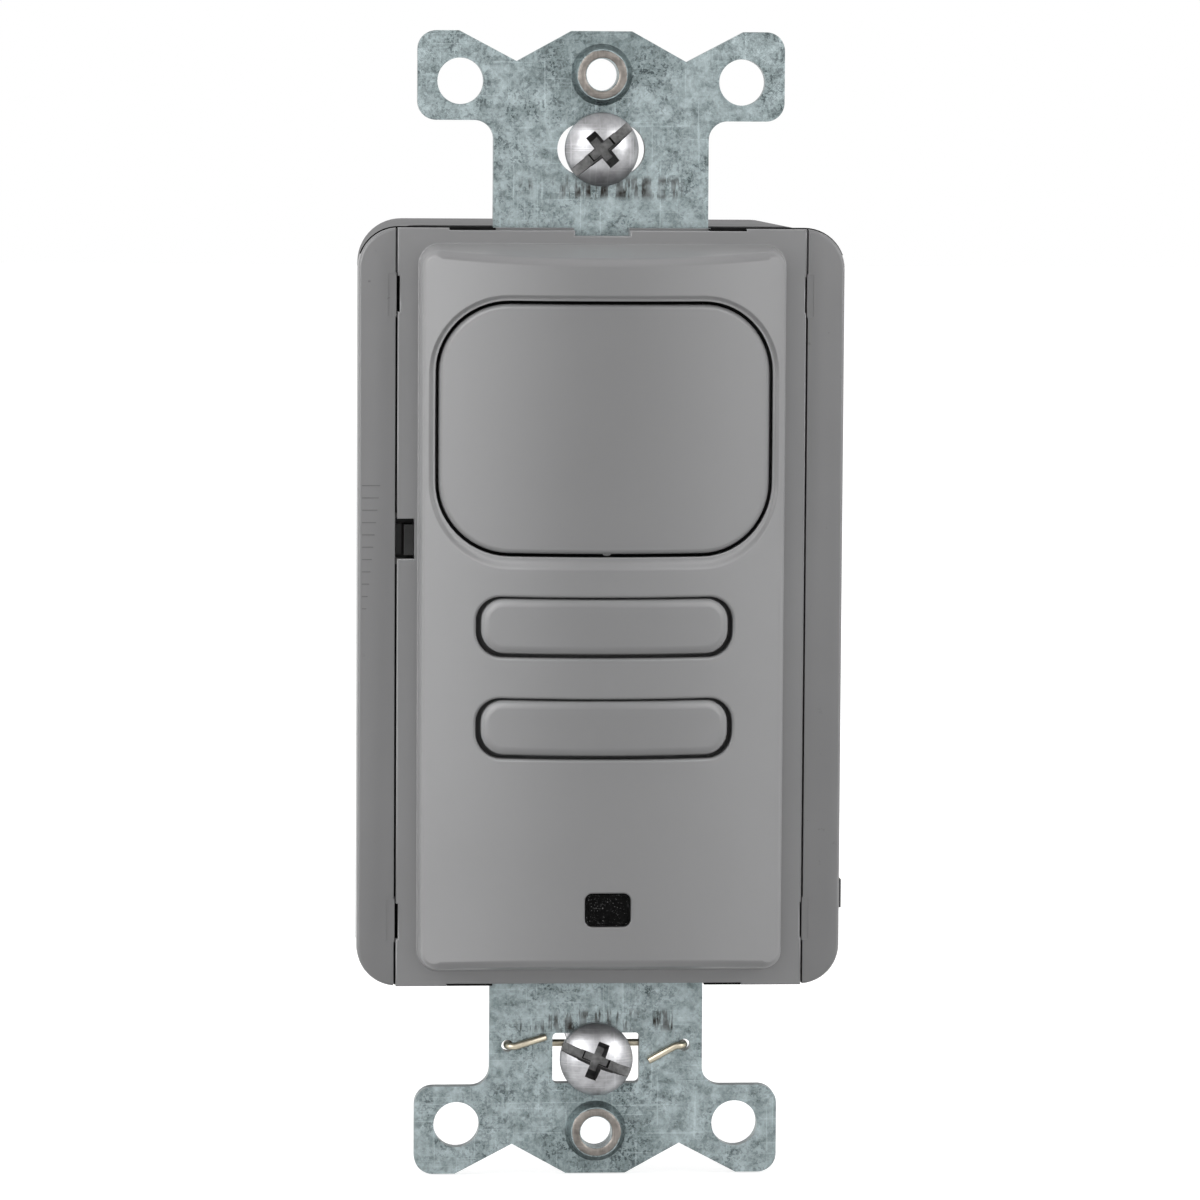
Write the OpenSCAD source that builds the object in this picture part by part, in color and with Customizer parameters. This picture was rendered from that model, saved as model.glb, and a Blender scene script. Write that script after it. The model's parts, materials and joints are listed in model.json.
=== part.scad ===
// Wall switch with a motion sensor and two load buttons, for a single-gang wall box.
// The front faces -Y and +Z is up. The origin lies midway between the two box screws,
// on the back face of the mounting strap.

/* [Mounting strap] */
// Thickness of the steel strap
strap_t = 1.3; // [0.9:0.1:1.6]
// Height of the strap from end to end
strap_h = 104.7; // [103:0.1:112]
// Width of the necks that leave the body
neck_w = 19.6; // [18:0.1:24]
// Width across the two plaster ears of one end
ears_w = 33.4; // [31:0.1:44]
// Height of a plaster ear
ear_h = 8.1; // [7:0.1:9]
// Radius of the ears' outer corners and of the fillets at the necks
ear_r = 1.7; // [0.5:0.1:2]
// Width of the tab in the middle of each end
tab_w = 5.5; // [4:0.1:7]
// Depth of the notches beside the tab
notch_depth = 2.75; // [1:0.05:3]
// Distance between the deepest points of an end's two notches
notch_spacing = 15.44; // [12:0.02:18]
// Width across an end's two notches
notches_w = 25.9; // [22:0.1:28]
// Width of the frame inside the body
frame_w = 38.4; // [36:0.1:39]
// Height of the frame inside the body
frame_h = 65.2; // [62:0.1:66]
// Width of the window in the frame
window_w = 27; // [24:0.1:28]
// Height of the window in the frame
window_h = 48; // [44:0.5:49]

/* [Strap holes] */
// Distance between the wall-plate screw holes
plate_hole_spacing = 96.84; // [95:0.02:98]
// Bore of a wall-plate screw hole
plate_hole_d = 2.9; // [2.5:0.1:3.2]
// Diameter of the collar around the hole at the strap's face
collar_base_d = 5.6; // [5:0.1:6]
// Diameter of the collar at its rim
collar_rim_d = 4.6; // [4.2:0.1:4.8]
// Height of the collar
collar_h = 0.9; // [0.4:0.1:1.2]
// Diameter of the plaster ear holes
ear_hole_d = 4.2; // [3.5:0.1:4.6]
// Distance between the two ear holes of one end
ear_hole_spacing_x = 25.64; // [24:0.02:26]
// Distance between the ear holes of the two ends
ear_hole_spacing_z = 95.58; // [95:0.02:97]
// Width of the box-screw slots
slot_w = 8; // [7:0.1:9]
// Height of the box-screw slots
slot_h = 4.67; // [4.2:0.01:4.8]
// Corner radius of the lower slot
lower_slot_r = 0.4; // [0.2:0.1:1.5]

/* [Box screws] */
// Distance between the two box screws
box_screw_spacing = 83.34; // [83:0.02:84]
// Diameter over the thread
screw_d = 3.5; // [3.2:0.05:3.6]
// Diameter of the plain neck under the head
screw_neck_d = 2.9; // [2.6:0.05:3]
// Length of the plain neck behind the strap
screw_neck_l = 1; // [0.9:0.05:1.5]
// How far the screws reach behind the strap
screw_reach = 17; // [12:0.5:25]
// Diameter of the head
screw_head_d = 6.7; // [6:0.1:7.4]
// Height of the domed head
screw_head_h = 2.2; // [1.8:0.1:2.6]
// Height of the rim below the dome
screw_rim_h = 0.7; // [0.4:0.1:1]
// Width of the drive slot
drive_slot_w = 1; // [0.8:0.1:1.2]
// Depth of the drive slot
drive_slot_depth = 1.1; // [0.6:0.1:1.4]
// Turn of the upper screw's slot from level
upper_slot_turn = 40; // [0:1:180]
// Turn of the lower screw's slot from level
lower_slot_turn = 158; // [0:1:180]
// Diameter of the washer that keeps the upper screw captive
washer_d = 6.2; // [5.5:0.1:7.5]
// Thickness of that washer
washer_t = 0.5; // [0.3:0.05:0.7]

/* [Ground wire] */
// Thickness of the ground wire
wire_d = 0.65; // [0.5:0.05:0.7]
// Diameter of its two holes in the strap
wire_hole_d = 1.1; // [0.9:0.1:1.3]
// Distance between the two holes
wire_hole_spacing = 16.3; // [15:0.1:16.6]
// How far the holes lie above the lower box screw
wire_rise = 1.17; // [0.8:0.01:1.4]
// Radius of the wire's bends at the holes
wire_bend_r = 0.6; // [0.5:0.05:0.7]
// Length of the left end in front of the strap
wire_left_end = 3.7; // [2:0.1:4]
// Length of the right end in front of the strap
wire_right_end = 3.7; // [2:0.1:4]
// Tilt of the left end above level
wire_left_tilt = 20; // [2:1:30]
// Tilt of the right end below level
wire_right_tilt = 29; // [2:1:30]

/* [Body] */
// Width of the front housing
body_w = 44.2; // [43:0.1:45.5]
// Height of the front housing and of the cover
body_h = 69.1; // [69:0.1:70]
// Corner radius of the front housing
body_r = 3.65; // [2:0.05:4.5]
// Thickness of the front housing's floor over the strap
floor_t = 1.2; // [0.9:0.1:1.5]
// Thickness of the two wings beside the cover
wing_t = 2.4; // [1.8:0.1:2.6]
// Width of the skirts that close the sides of the strap's gap
skirt_w = 2; // [1:0.1:2.2]
// Height of these skirts
skirt_h = 61; // [50:0.5:62]
// Distance between the case screws across the body
case_screw_spacing_x = 32.8; // [32:0.1:33]
// Distance between the case screws along the body
case_screw_spacing_z = 59.8; // [59:0.1:60]
// Diameter of the bosses around the case screws
boss_d = 4.8; // [4.2:0.1:5]
// How far the front bosses reach behind the strap
front_boss_l = 4; // [2:0.5:5]
// How far the bosses' pilot holes stop short of the housing's floor
case_pilot_floor = 0.6; // [0.4:0.1:1]

/* [Front cover] */
// Width of the cover's flange
cover_w = 37.2; // [36.5:0.1:38]
// Thickness of the cover's flange
flange_t = 1.5; // [1:0.1:1.8]
// Thickness of the cover's shell
shell_t = 1.3; // [1:0.1:1.5]
// Width of the raised face where it leaves the flange
face_w = 33.2; // [32.4:0.1:33.2]
// Height of the raised face where it leaves the flange
face_h = 66.2; // [65:0.1:66.6]
// Corner radius of the raised face
face_r = 1.5; // [1:0.1:4]
// Rise of the crown's middle above the flange
crown_rise = 6.8; // [6:0.1:9]
// Radius of the crown, whose axis is upright
crown_r = 34.5; // [32:0.5:60]
// Draft of the raised face's long sides, in degrees
side_draft = 3.3; // [1:0.1:5]
// Draft of its two ends, in degrees
end_draft = 10; // [2:1:14]
// Width of the pry notch in the upper edge
pry_notch_w = 5.06; // [3:0.02:8]
// Depth of the pry notch
pry_notch_depth = 0.7; // [0.3:0.1:1.2]
// Height of the four snap slots in the flange's edges
snap_slot_h = 3.8; // [2:0.1:5]
// Width of a snap slot in the flange
snap_slot_w = 0.45; // [0.2:0.05:0.8]
// Width of the shallow recess beside it in the wing
snap_recess_w = 0.5; // [0.2:0.05:1]
// Depth of that recess
snap_recess_depth = 0.5; // [0.2:0.1:1]
// Distance between the upper and lower snap slots
snap_slot_spacing = 57; // [50:0.5:60]
// Diameter of the four locating pins behind the cover's flange
locating_pin_d = 1.4; // [1:0.1:1.6]
// Distance between the upper and lower locating pins
locating_pin_spacing = 36; // [30:0.5:48]

/* [Lens] */
// Width of the lens
lens_w = 29.8; // [28:0.1:30]
// Height of the lens
lens_h = 22.4; // [20:0.1:24]
// Corner radius of the lens
lens_r = 6.2; // [4:0.1:7]
// Height of the lens's middle above the origin
lens_z = 16.68; // [15:0.02:18]
// Gap between the lens and its aperture
lens_gap = 0.3; // [0.15:0.05:0.4]
// How far the lens lies below the crown
lens_recess = 0.25; // [0:0.05:0.6]
// Thickness of the lens
lens_t = 0.8; // [0.5:0.1:1.2]
// How far the lens's flanges reach past its aperture, above and below
lens_flange = 1.2; // [0.6:0.1:1.6]
// Thickness of the ring that holds the lens from behind
retainer_t = 1.7; // [1:0.1:2]
// Width of the opening in that ring and in the floor
view_w = 26; // [22:0.5:26.5]
// Height of the opening in that ring and in the floor
view_h = 19.5; // [16:0.5:19.5]
// Corner radius of that opening
view_r = 5; // [3:0.5:6]

/* [Buttons] */
// Width of a button
button_w = 22.3; // [18:0.1:24]
// Height of a button
button_h = 4.95; // [4:0.05:5.4]
// Corner radius of a button
button_r = 2.3; // [1:0.05:2.4]
// Gap at a button's ends
button_gap_x = 0.45; // [0.2:0.05:0.6]
// Gap above and below a button
button_gap_z = 0.225; // [0.1:0.025:0.35]
// Height of the upper button's middle above the origin
upper_button_z = -1.13; // [-2:0.01:-1]
// Height of the lower button's middle above the origin
lower_button_z = -10.3; // [-12:0.05:-9.8]
// How far a button stands proud of the crown
button_proud = 0.15; // [0:0.05:0.5]
// Thickness of a button's cap
button_t = 1.6; // [1:0.1:2]
// How far a button's flange reaches past its cap
button_flange = 1.1; // [0.6:0.1:1.4]
// Diameter of the rod behind a button
rod_d = 3.6; // [3:0.1:4]
// Travel of a button
button_travel = 0.6; // [0.3:0.1:0.8]

/* [Photocell window] */
// Width of the window
photo_w = 4; // [3:0.1:5]
// Height of the window
photo_h = 2.9; // [2.4:0.1:4]
// Corner radius of the window
photo_r = 0.6; // [0.3:0.1:1]
// Sideways place of the window
photo_x = 0.3; // [-1:0.1:1]
// Height of the window's middle above the origin
photo_z = -26.7; // [-27.5:0.1:-26]
// Diameter of the light pipe behind the window
light_pipe_d = 2.4; // [2:0.1:2.8]
// Diameter of the hole for it in the strap
light_hole_d = 3.4; // [3.2:0.1:4.4]

/* [Photocell key] */
// Width of the key's face
key_w = 0.93; // [0.6:0.01:1.1]
// Height of the key's face
key_h = 2.78; // [2:0.02:3]
// Height of the key's middle above the origin
key_z = 6.26; // [5:0.02:8]
// Width of its notch beside the raised face
key_notch_w = 1.66; // [1.5:0.01:1.7]
// Height of its notch
key_notch_h = 3.66; // [3.4:0.02:4.5]
// Distance from the raised face's side to this notch
key_notch_inset = 0.39; // [0.1:0.01:0.6]
// How far the notch's middle lies above the key's
key_notch_rise = 0.12; // [0:0.01:0.3]
// How far the key's face lies below the flange's face
key_recess = 0.5; // [0.1:0.1:1]
// Travel of the key
key_travel = 0.4; // [0.2:0.1:0.6]
// Width of the key's flange behind the front housing
key_flange_w = 2.4; // [2:0.1:2.6]
// How far that flange reaches past the key, above and below
key_flange_edge = 0.45; // [0.2:0.05:0.8]
// Thickness of that flange
key_flange_t = 0.6; // [0.4:0.1:0.8]
// Thickness of the thin blade beside the key
key_blade_w = 0.5; // [0.3:0.1:0.7]

/* [Rear housing] */
// How far the rear housing's sides lie inside the front housing's
rear_side_step = 1.1; // [-0.2:0.05:1.5]
// How far its ends reach past the front housing's
rear_end_step = 0.15; // [0:0.05:0.4]
// Depth of the rear housing behind the strap
rear_depth = 31; // [30:0.5:38]
// Corner radius of the rear housing
rear_r = 4.2; // [3:0.1:5]
// Thickness of its walls
rear_wall = 1.8; // [1.5:0.1:1.9]
// Thickness of its back
back_t = 2; // [1.5:0.1:2.2]
// Diameter of the counterbores for the case screws
counterbore_d = 4.6; // [4.4:0.1:5]
// Wall around a counterbore
counterbore_wall = 0.9; // [0.6:0.1:0.9]
// How far behind the strap the case screws' heads sit
case_head_y = 12; // [10.5:0.5:14]
// Height of the case screws' heads
case_head_h = 1.6; // [1.2:0.1:2.4]
// Height of the catch at the right edge
catch_h = 2.6; // [1:0.1:5]
// Height of the catch's middle above the origin
catch_z = -26.3; // [-28:0.1:-24]
// How far the catch stands out of the side
catch_out = 0.25; // [0.1:0.05:0.5]
// How far the catch reaches in front of the strap
catch_hook = 1.5; // [0.5:0.1:2]

/* [Terminals] */
// Distance between neighbouring terminals
terminal_spacing = 20; // [18:0.5:20]
// How far behind the strap a terminal screw's axis lies
terminal_y = 11; // [10.5:0.1:11.5]
// Width of a terminal pocket along the body
pocket_w = 12; // [10:0.5:13]
// Depth of a terminal pocket from front to back
pocket_l = 13; // [11:0.5:13]
// Distance from the middle of the body to a pocket's floor
pocket_floor_x = 17.4; // [17:0.1:17.6]
// Thickness of the pocket walls
pocket_wall = 1.5; // [1:0.1:1.5]
// Thickness of a terminal plate
terminal_t = 1; // [0.8:0.1:1.2]
// Width of a terminal plate
terminal_w = 9; // [8:0.5:9.5]
// Length of a terminal plate
terminal_l = 11; // [9:0.5:11]
// Width of the tail to the power board
tail_w = 4; // [3:0.5:6]
// Thickness of a wire clamp
clamp_t = 0.8; // [0.6:0.1:1]
// Length of a wire clamp from front to back
clamp_l = 9; // [8:0.5:10]
// Diameter of a terminal screw's head
terminal_head_d = 7.2; // [6.5:0.1:8]
// Height of a terminal screw's head
terminal_head_h = 2; // [1.5:0.1:2.4]
// Length of a terminal screw below its head
terminal_screw_l = 5; // [3.5:0.1:5.2]
// Width of the strap's lug that is the ground terminal
lug_w = 8; // [6:0.5:9]

/* [Boards] */
// Thickness of both circuit boards
board_t = 1.6; // [1:0.2:1.6]
// Distance from the strap's back to the control board
control_board_y = 7; // [6.5:0.1:7]
// Width of the control board
control_board_w = 31; // [28:0.5:31]
// Height of the control board
control_board_h = 62; // [58:0.5:63]
// Distance between the power board and the rear housing's back
power_board_standoff = 2; // [1.5:0.1:2.5]
// Width of the power board
power_board_w = 37.8; // [37:0.1:39]
// Height of the power board
power_board_h = 51; // [48:0.5:51.5]
// Diameter of the posts that carry the boards
post_d = 3; // [2.5:0.1:3]
// Distance across between the control board's posts
post_spacing_x = 22; // [20:0.5:23]
// Distance along between the control board's posts
post_spacing_z = 58.6; // [58:0.1:58.8]
// Diameter of the pins on these posts
post_pin_d = 1.6; // [1.2:0.1:1.8]

/* [Board parts] */
// Diameter of the motion sensor's can
pyro_d = 8.2; // [6:0.1:9.2]
// Height of the can
pyro_h = 4; // [3:0.1:4]
// Width of the button switches' bodies
switch_w = 6; // [5.4:0.1:7]
// Height of the button switches' bodies
switch_h = 3.5; // [3:0.1:3.8]
// Diameter of the button switches' stems
stem_d = 3.4; // [2.5:0.1:3.5]
// How far a stem stands out of its switch
stem_out = 0.8; // [0.7:0.1:1]
// Width of the key's switch
small_switch_w = 3.6; // [3:0.1:4]
// Height of the key's switch
small_switch_h = 2.5; // [2:0.1:3]
// Diameter of the key switch's stem
small_stem_d = 1.8; // [1.2:0.1:2]
// Width of the controller chip
chip_w = 7; // [4:0.5:9]
// Thickness of the controller chip
chip_t = 1.2; // [0.8:0.1:1.6]
// Diameter of the photodiode
photodiode_d = 3; // [2:0.1:4]
// Height of the photodiode
photodiode_h = 3; // [2:0.1:3.5]
// Diameter of the status lamp
lamp_d = 3; // [2:0.1:3.5]
// Height of the status lamp
lamp_h = 3.6; // [2:0.1:4]
// Width of a relay
relay_w = 12.8; // [10:0.1:13]
// Length of a relay
relay_l = 28.5; // [24:0.5:28.5]
// Height of a relay
relay_h = 14.5; // [12:0.5:15]
// Distance between a relay and the middle of the board
relay_gap = 0.8; // [0.4:0.1:2]
// Distance between the relays and the board's upper edge
relay_edge = 0.5; // [0:0.1:1]
// Width of the film capacitor
film_w = 17; // [13:0.5:18]
// Thickness of the film capacitor
film_t = 6; // [4:0.5:6.5]
// Height of the film capacitor
film_h = 11; // [8:0.5:14]
// Distance between the relays and the film capacitor
film_gap = 1.5; // [1:0.1:2]
// Sideways place of the film capacitor's middle
film_x = -5; // [-8:0.1:-4.5]
// Diameter of the electrolytic capacitor
electrolytic_d = 8; // [6:0.1:8]
// Height of the electrolytic capacitor
electrolytic_h = 12.5; // [8:0.5:14]
// Sideways place of the electrolytic capacitor
electrolytic_x = 9.5; // [9:0.1:14]
// Distance between the relays and the electrolytic capacitor
electrolytic_gap = 2.5; // [1:0.1:2.5]
// Diameter of the varistor
varistor_d = 9; // [7:0.5:10]
// Thickness of the varistor
varistor_t = 4; // [3:0.5:5]
// Sideways place of the varistor
varistor_x = -8.5; // [-12:0.1:-6]
// Distance between the film capacitor and the varistor
varistor_gap = 2.5; // [1:0.1:3]
// Height at which it stands off the board
varistor_stand = 0.5; // [0.2:0.1:2]
// Thickness of its two leads
varistor_lead_d = 0.8; // [0.5:0.1:1]
// Diameter of the inductor
inductor_d = 8.5; // [6:0.5:9]
// Height of the inductor
inductor_h = 10; // [8:0.5:13]
// Thickness of the inductor's two flanges
inductor_flange_t = 1.2; // [0.8:0.1:2]
// Sideways place of the inductor
inductor_x = 8.5; // [8:0.1:13]
// Distance between the electrolytic capacitor and the inductor
inductor_gap = 0.95; // [0.5:0.05:1.5]
// Number of pins between the boards
connector_pins = 6; // [3:1:6]
// Distance between these pins
connector_pitch = 2.54; // [2:0.01:2.54]
// Width and height of the connector's two blocks
connector_block = 2.5; // [2:0.1:3]
// Thickness of its pins
connector_pin_w = 0.64; // [0.5:0.02:0.8]
// Sideways place of the connector
connector_x = -5; // [-8:0.1:-2]

/* [Clearances] */
// Gap around a shaft that turns or slides in its hole
running = 0.05; // [0.02:0.01:0.1]
// Gap around a rod or pin that slides loosely
sliding = 0.08; // [0.05:0.01:0.1]
// Gap between flat faces that must not rub
face_gap = 0.05; // [0.02:0.01:0.1]
// Gap beside pieces that are dropped into place
loose = 0.3; // [0.2:0.05:0.4]
// Visible seam between the cover and the wings
seam = 0.15; // [0.05:0.05:0.3]

/* [Hidden] */

$fn = 64;
// Overshoot that makes cuts pass cleanly through a face
over = 1;

// Outline of the rear housing, which follows the front housing
rear_w = body_w - 2 * rear_side_step;
rear_h = body_h + 2 * rear_end_step;

// Planes along Y, from the strap forwards
strap_front = -strap_t;
floor_front = strap_front - floor_t;
wing_front = strap_front - wing_t;
flange_front = floor_front - flange_t;
crown_front = flange_front - crown_rise;
crown_axis_y = crown_front + crown_r;
retainer_front = floor_front - face_gap - retainer_t;
lens_back = retainer_front - face_gap;

// Planes along Y, from the strap backwards
control_board_back = control_board_y + board_t;
power_board_back = rear_depth - back_t - power_board_standoff;
power_board_front = power_board_back - board_t;
switch_front = control_board_y - switch_h;
stem_front = switch_front - stem_out;
small_switch_front = control_board_y - small_switch_h;
small_stem_front = small_switch_front - stem_out;
pocket_front = terminal_y - pocket_l / 2;
pocket_back = terminal_y + pocket_l / 2;

// Places in the front view
plate_hole_z = plate_hole_spacing / 2;
box_screw_z = box_screw_spacing / 2;
ear_z = strap_h / 2 - ear_h;
key_notch_inner_x = -(face_w / 2 + key_notch_inset);
key_x = key_notch_inner_x - key_w / 2;
key_notch_z = key_z + key_notch_rise;
key_flange_h = key_h + 2 * key_flange_edge;
relay_bottom_z = power_board_h / 2 - relay_edge - relay_l;
film_bottom_z = relay_bottom_z - film_gap - film_t;
varistor_z = film_bottom_z - varistor_gap - varistor_t / 2;
electrolytic_z = relay_bottom_z - electrolytic_gap - electrolytic_d / 2;
inductor_z = electrolytic_z - electrolytic_d / 2 - inductor_gap - inductor_d / 2;

// Pieces whose sizes follow from their neighbours
thread_start = screw_neck_l;
washer_back = face_gap + washer_t;
lens_flange_t = 0.8;
button_flange_t = 0.9;
photo_flange_t = 0.8;
photo_flange_edge = 1;
locating_pin_l = floor_t - 0.1;
control_notch = boss_d / 2 + 2 * loose;

// A terminal is [side, height, thickness of its plate]: side 1 is the right, -1 the left
LINE = [1, terminal_spacing, terminal_t];
LOAD_1 = [1, 0, terminal_t];
LOAD_2 = [1, -terminal_spacing, terminal_t];
NEUTRAL = [-1, terminal_spacing, terminal_t];
GROUND = [-1, -terminal_spacing, strap_t];
TERMINALS = [LINE, LOAD_1, LOAD_2, NEUTRAL, GROUND];

// Straight steps in each turn of the ground wire
wire_steps = 4;

// Helpers

// A box from its extents along X, Y and Z
module span(x, y, z) {
    translate([x[0], y[0], z[0]])
        cube([x[1] - x[0], y[1] - y[0], z[1] - z[0]]);
}

// A front-view outline carried from y0 back to y1
module plate(y0, y1) {
    translate([0, y1, 0])
        rotate([90, 0, 0])
            linear_extrude(y1 - y0)
                children();
}

// A round bar along Y
module rod(d, y0, y1) {
    translate([0, y1, 0])
        rotate([90, 0, 0])
            cylinder(d = d, h = y1 - y0);
}

// A round bar along X, with the side as its sign
module side_rod(d, side, x0, x1) {
    translate([side * x0, 0, 0])
        rotate([0, side * 90, 0])
            cylinder(d = d, h = x1 - x0);
}

// A rectangle with round corners
module rounded(w, h, r) {
    square([w - 2 * r, h], center = true);
    square([w, h - 2 * r], center = true);
    for (sx = [-1, 1], sz = [-1, 1])
        translate([sx * (w / 2 - r), sz * (h / 2 - r)])
            circle(r = r);
}

// What a round corner takes away from a square one
module corner_waste(r) {
    difference() {
        square(r + over);
        circle(r = r);
    }
}

// Puts children at the four places of a rectangular pattern in the front view
module four(sx, sz) {
    for (x = [-sx / 2, sx / 2], z = [-sz / 2, sz / 2])
        translate([x, 0, z])
            children();
}

// The space behind the crown's surface, drawn in by an inset
module crown(inset) {
    translate([0, crown_axis_y, 0])
        cylinder(r = crown_r - inset, h = 2 * body_h, center = true, $fn = 180);
}

// A front-view outline cut off by the crown, from the crown back to y1
module crowned(inset, y1) {
    intersection() {
        plate(crown_front - over, y1)
            children();
        crown(inset);
    }
}

// A front-view outline bent along the crown, between two insets
module crown_layer(inset, t) {
    difference() {
        crowned(inset, 0)
            children();
        crown(inset + t);
    }
}

// The raised face's block with its drafts, drawn in on all sides by an inset
module face_block(inset, back) {
    w = face_w - 2 * inset;
    h = face_h - 2 * inset;
    rise = crown_rise + over;
    side_in = rise * tan(side_draft);
    end_in = rise * tan(end_draft);
    top = flange_front - rise;
    intersection() {
        plate(top, back)
            rounded(w, h, max(face_r - inset, 0.5));
        linear_extrude(h, center = true)
            polygon([
                [-w / 2, back], [w / 2, back], [w / 2, flange_front],
                [w / 2 - side_in, top], [side_in - w / 2, top], [-w / 2, flange_front]
            ]);
        rotate([90, 0, 90])
            linear_extrude(w, center = true)
                polygon([
                    [back, -h / 2], [back, h / 2], [flange_front, h / 2],
                    [top, h / 2 - end_in], [top, end_in - h / 2], [flange_front, -h / 2]
                ]);
        crown(inset);
    }
}

// Mounting strap

// Upper end of the strap from the body's edge, right half
module strap_end() {
    top = strap_h / 2;
    polygon([
        [0, 0], [neck_w / 2, 0], [neck_w / 2, ear_z], [ears_w / 2, ear_z],
        [ears_w / 2, top], [notches_w / 2, top],
        [notch_spacing / 2, top - notch_depth], [tab_w / 2, top], [0, top]
    ]);
}

module strap_outline() {
    difference() {
        union() {
            for (sx = [0, 1], sz = [0, 1])
                mirror([sx, 0]) mirror([0, sz])
                    strap_end();
            square([frame_w, frame_h], center = true);
            for (sx = [0, 1], sz = [0, 1])
                mirror([sx, 0]) mirror([0, sz])
                    translate([neck_w / 2 + ear_r, ear_z - ear_r])
                        rotate(90)
                            difference() {
                                square(ear_r);
                                circle(r = ear_r);
                            }
        }
        for (sx = [0, 1], sz = [0, 1])
            mirror([sx, 0]) mirror([0, sz]) {
                translate([ears_w / 2 - ear_r, strap_h / 2 - ear_r])
                    corner_waste(ear_r);
                translate([ears_w / 2 - ear_r, ear_z + ear_r])
                    mirror([0, 1])
                        corner_waste(ear_r);
            }
    }
}

module mounting_strap() {
    lug = [pocket_floor_x, pocket_floor_x + strap_t];
    lug_end = terminal_y + terminal_l / 2;
    color("lightsteelblue")
        difference() {
            union() {
                plate(strap_front, 0)
                    strap_outline();
                for (s = [-1, 1])
                    translate([0, strap_front, s * plate_hole_z])
                        rotate([90, 0, 0])
                            cylinder(d1 = collar_base_d, d2 = collar_rim_d, h = collar_h);
                span([-lug[1], -lug[0]], [strap_front, lug_end],
                     [GROUND[1] - lug_w / 2, GROUND[1] + lug_w / 2]);
            }
            span([-window_w / 2, window_w / 2], [-over - strap_t, over], [-window_h / 2, window_h / 2]);
            for (s = [-1, 1])
                translate([0, 0, s * plate_hole_z])
                    rod(plate_hole_d, strap_front - collar_h - over, over);
            four(ear_hole_spacing_x, ear_hole_spacing_z)
                rod(ear_hole_d, strap_front - over, over);
            plate(strap_front - over, over) {
                translate([0, box_screw_z])
                    rounded(slot_w, slot_h, slot_h / 2 - 0.001);
                translate([0, -box_screw_z])
                    rounded(slot_w, slot_h, lower_slot_r);
            }
            for (s = [-1, 1])
                translate([s * wire_hole_spacing / 2, 0, wire_rise - box_screw_z])
                    rod(wire_hole_d, strap_front - over, over);
            for (sx = [-1, 1], sz = [-1, 1])
                translate([sx * case_screw_spacing_x / 2, 0, sz * case_screw_spacing_z / 2])
                    span([-boss_d / 2 - loose, boss_d / 2 + loose], [-over - strap_t, over],
                         [-boss_d / 2 - loose, boss_d / 2 + loose]);
            translate([photo_x, 0, photo_z])
                rod(light_hole_d, strap_front - over, over);
            span([-frame_w, key_x + key_flange_w / 2 + loose], [strap_front - over, over],
                 [key_z - key_flange_h / 2 - loose, key_z + key_flange_h / 2 + loose]);
            translate([0, terminal_y, GROUND[1]])
                side_rod(screw_d + 2 * running, -1, pocket_floor_x - over, pocket_floor_x + strap_t + over);
        }
}

// Ground wire: through both holes, behind the strap and over the lower screw

// Points of a turn in the plane of X and Z, about a centre, at the depth y
function turn_xz(c, r, a0, a1, y) =
    [for (i = [0 : wire_steps]) let (a = a0 + (a1 - a0) * i / wire_steps)
        [c[0] + r * cos(a), y, c[1] + r * sin(a)]];

// Points of a turn in the plane of X and Y, at the height z
function turn_xy(c, r, a0, a1, z) =
    [for (i = [0 : wire_steps]) let (a = a0 + (a1 - a0) * i / wire_steps)
        [c[0] + r * cos(a), c[1] + r * sin(a), z]];

// The right half of the wire's line, from the top of its hump to its tip. A positive tilt lifts the end.
function half_wire(l, tilt) =
    let (
        back = wire_d / 2 + face_gap,
        front = strap_front - wire_d / 2 - face_gap,
        bend_x = wire_hole_spacing / 2 - wire_bend_r,
        hump_r = screw_d / 2 + wire_d / 2 + 0.02,
        blend_r = 1,
        blend_x = sqrt(pow(hump_r + blend_r, 2) - pow(wire_rise + blend_r, 2)),
        hump_turn = atan2(wire_rise + blend_r, blend_x),
        lift_r = 2,
        way = sign(tilt),
        lift = turn_xz([bend_x, wire_rise + way * lift_r], lift_r, -90 * way, -90 * way - tilt, front),
        rest = l - wire_bend_r - lift_r * abs(tilt) * PI / 180
    )
    concat(
        turn_xz([0, 0], hump_r, 90, hump_turn, back),
        drop_first(turn_xz([blend_x, wire_rise + blend_r], blend_r, hump_turn - 180, -90, back)),
        turn_xy([bend_x, back - wire_bend_r], wire_bend_r, 90, 0, wire_rise),
        turn_xy([bend_x, front + wire_bend_r], wire_bend_r, 0, -90, wire_rise),
        drop_first(lift),
        [lift[wire_steps] + rest * [-cos(tilt), 0, sin(tilt)]]
    );

function drop_first(list) = [for (i = [1 : len(list) - 1]) list[i]];

// One unbroken tube along a line that never runs straight up
module tube(line, d, sides) {
    last = len(line) - 1;
    rings = [for (i = [0 : last])
        let (
            along = line[min(i + 1, last)] - line[max(i - 1, 0)],
            ahead = along / norm(along),
            across = cross(ahead, [0, 0, 1]) / norm(cross(ahead, [0, 0, 1])),
            up = cross(across, ahead)
        )
        for (k = [0 : sides - 1])
            line[i] + d / 2 * (cos(360 * k / sides) * across + sin(360 * k / sides) * up)];
    walls = [for (i = [0 : last - 1], k = [0 : sides - 1])
        let (next = (k + 1) % sides)
        [i * sides + k, i * sides + next, (i + 1) * sides + next, (i + 1) * sides + k]];
    start_cap = [for (k = [sides - 1 : -1 : 0]) k];
    end_cap = [for (k = [0 : sides - 1]) last * sides + k];
    polyhedron(points = rings, faces = concat([start_cap], walls, [end_cap]), convexity = 6);
}

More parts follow.
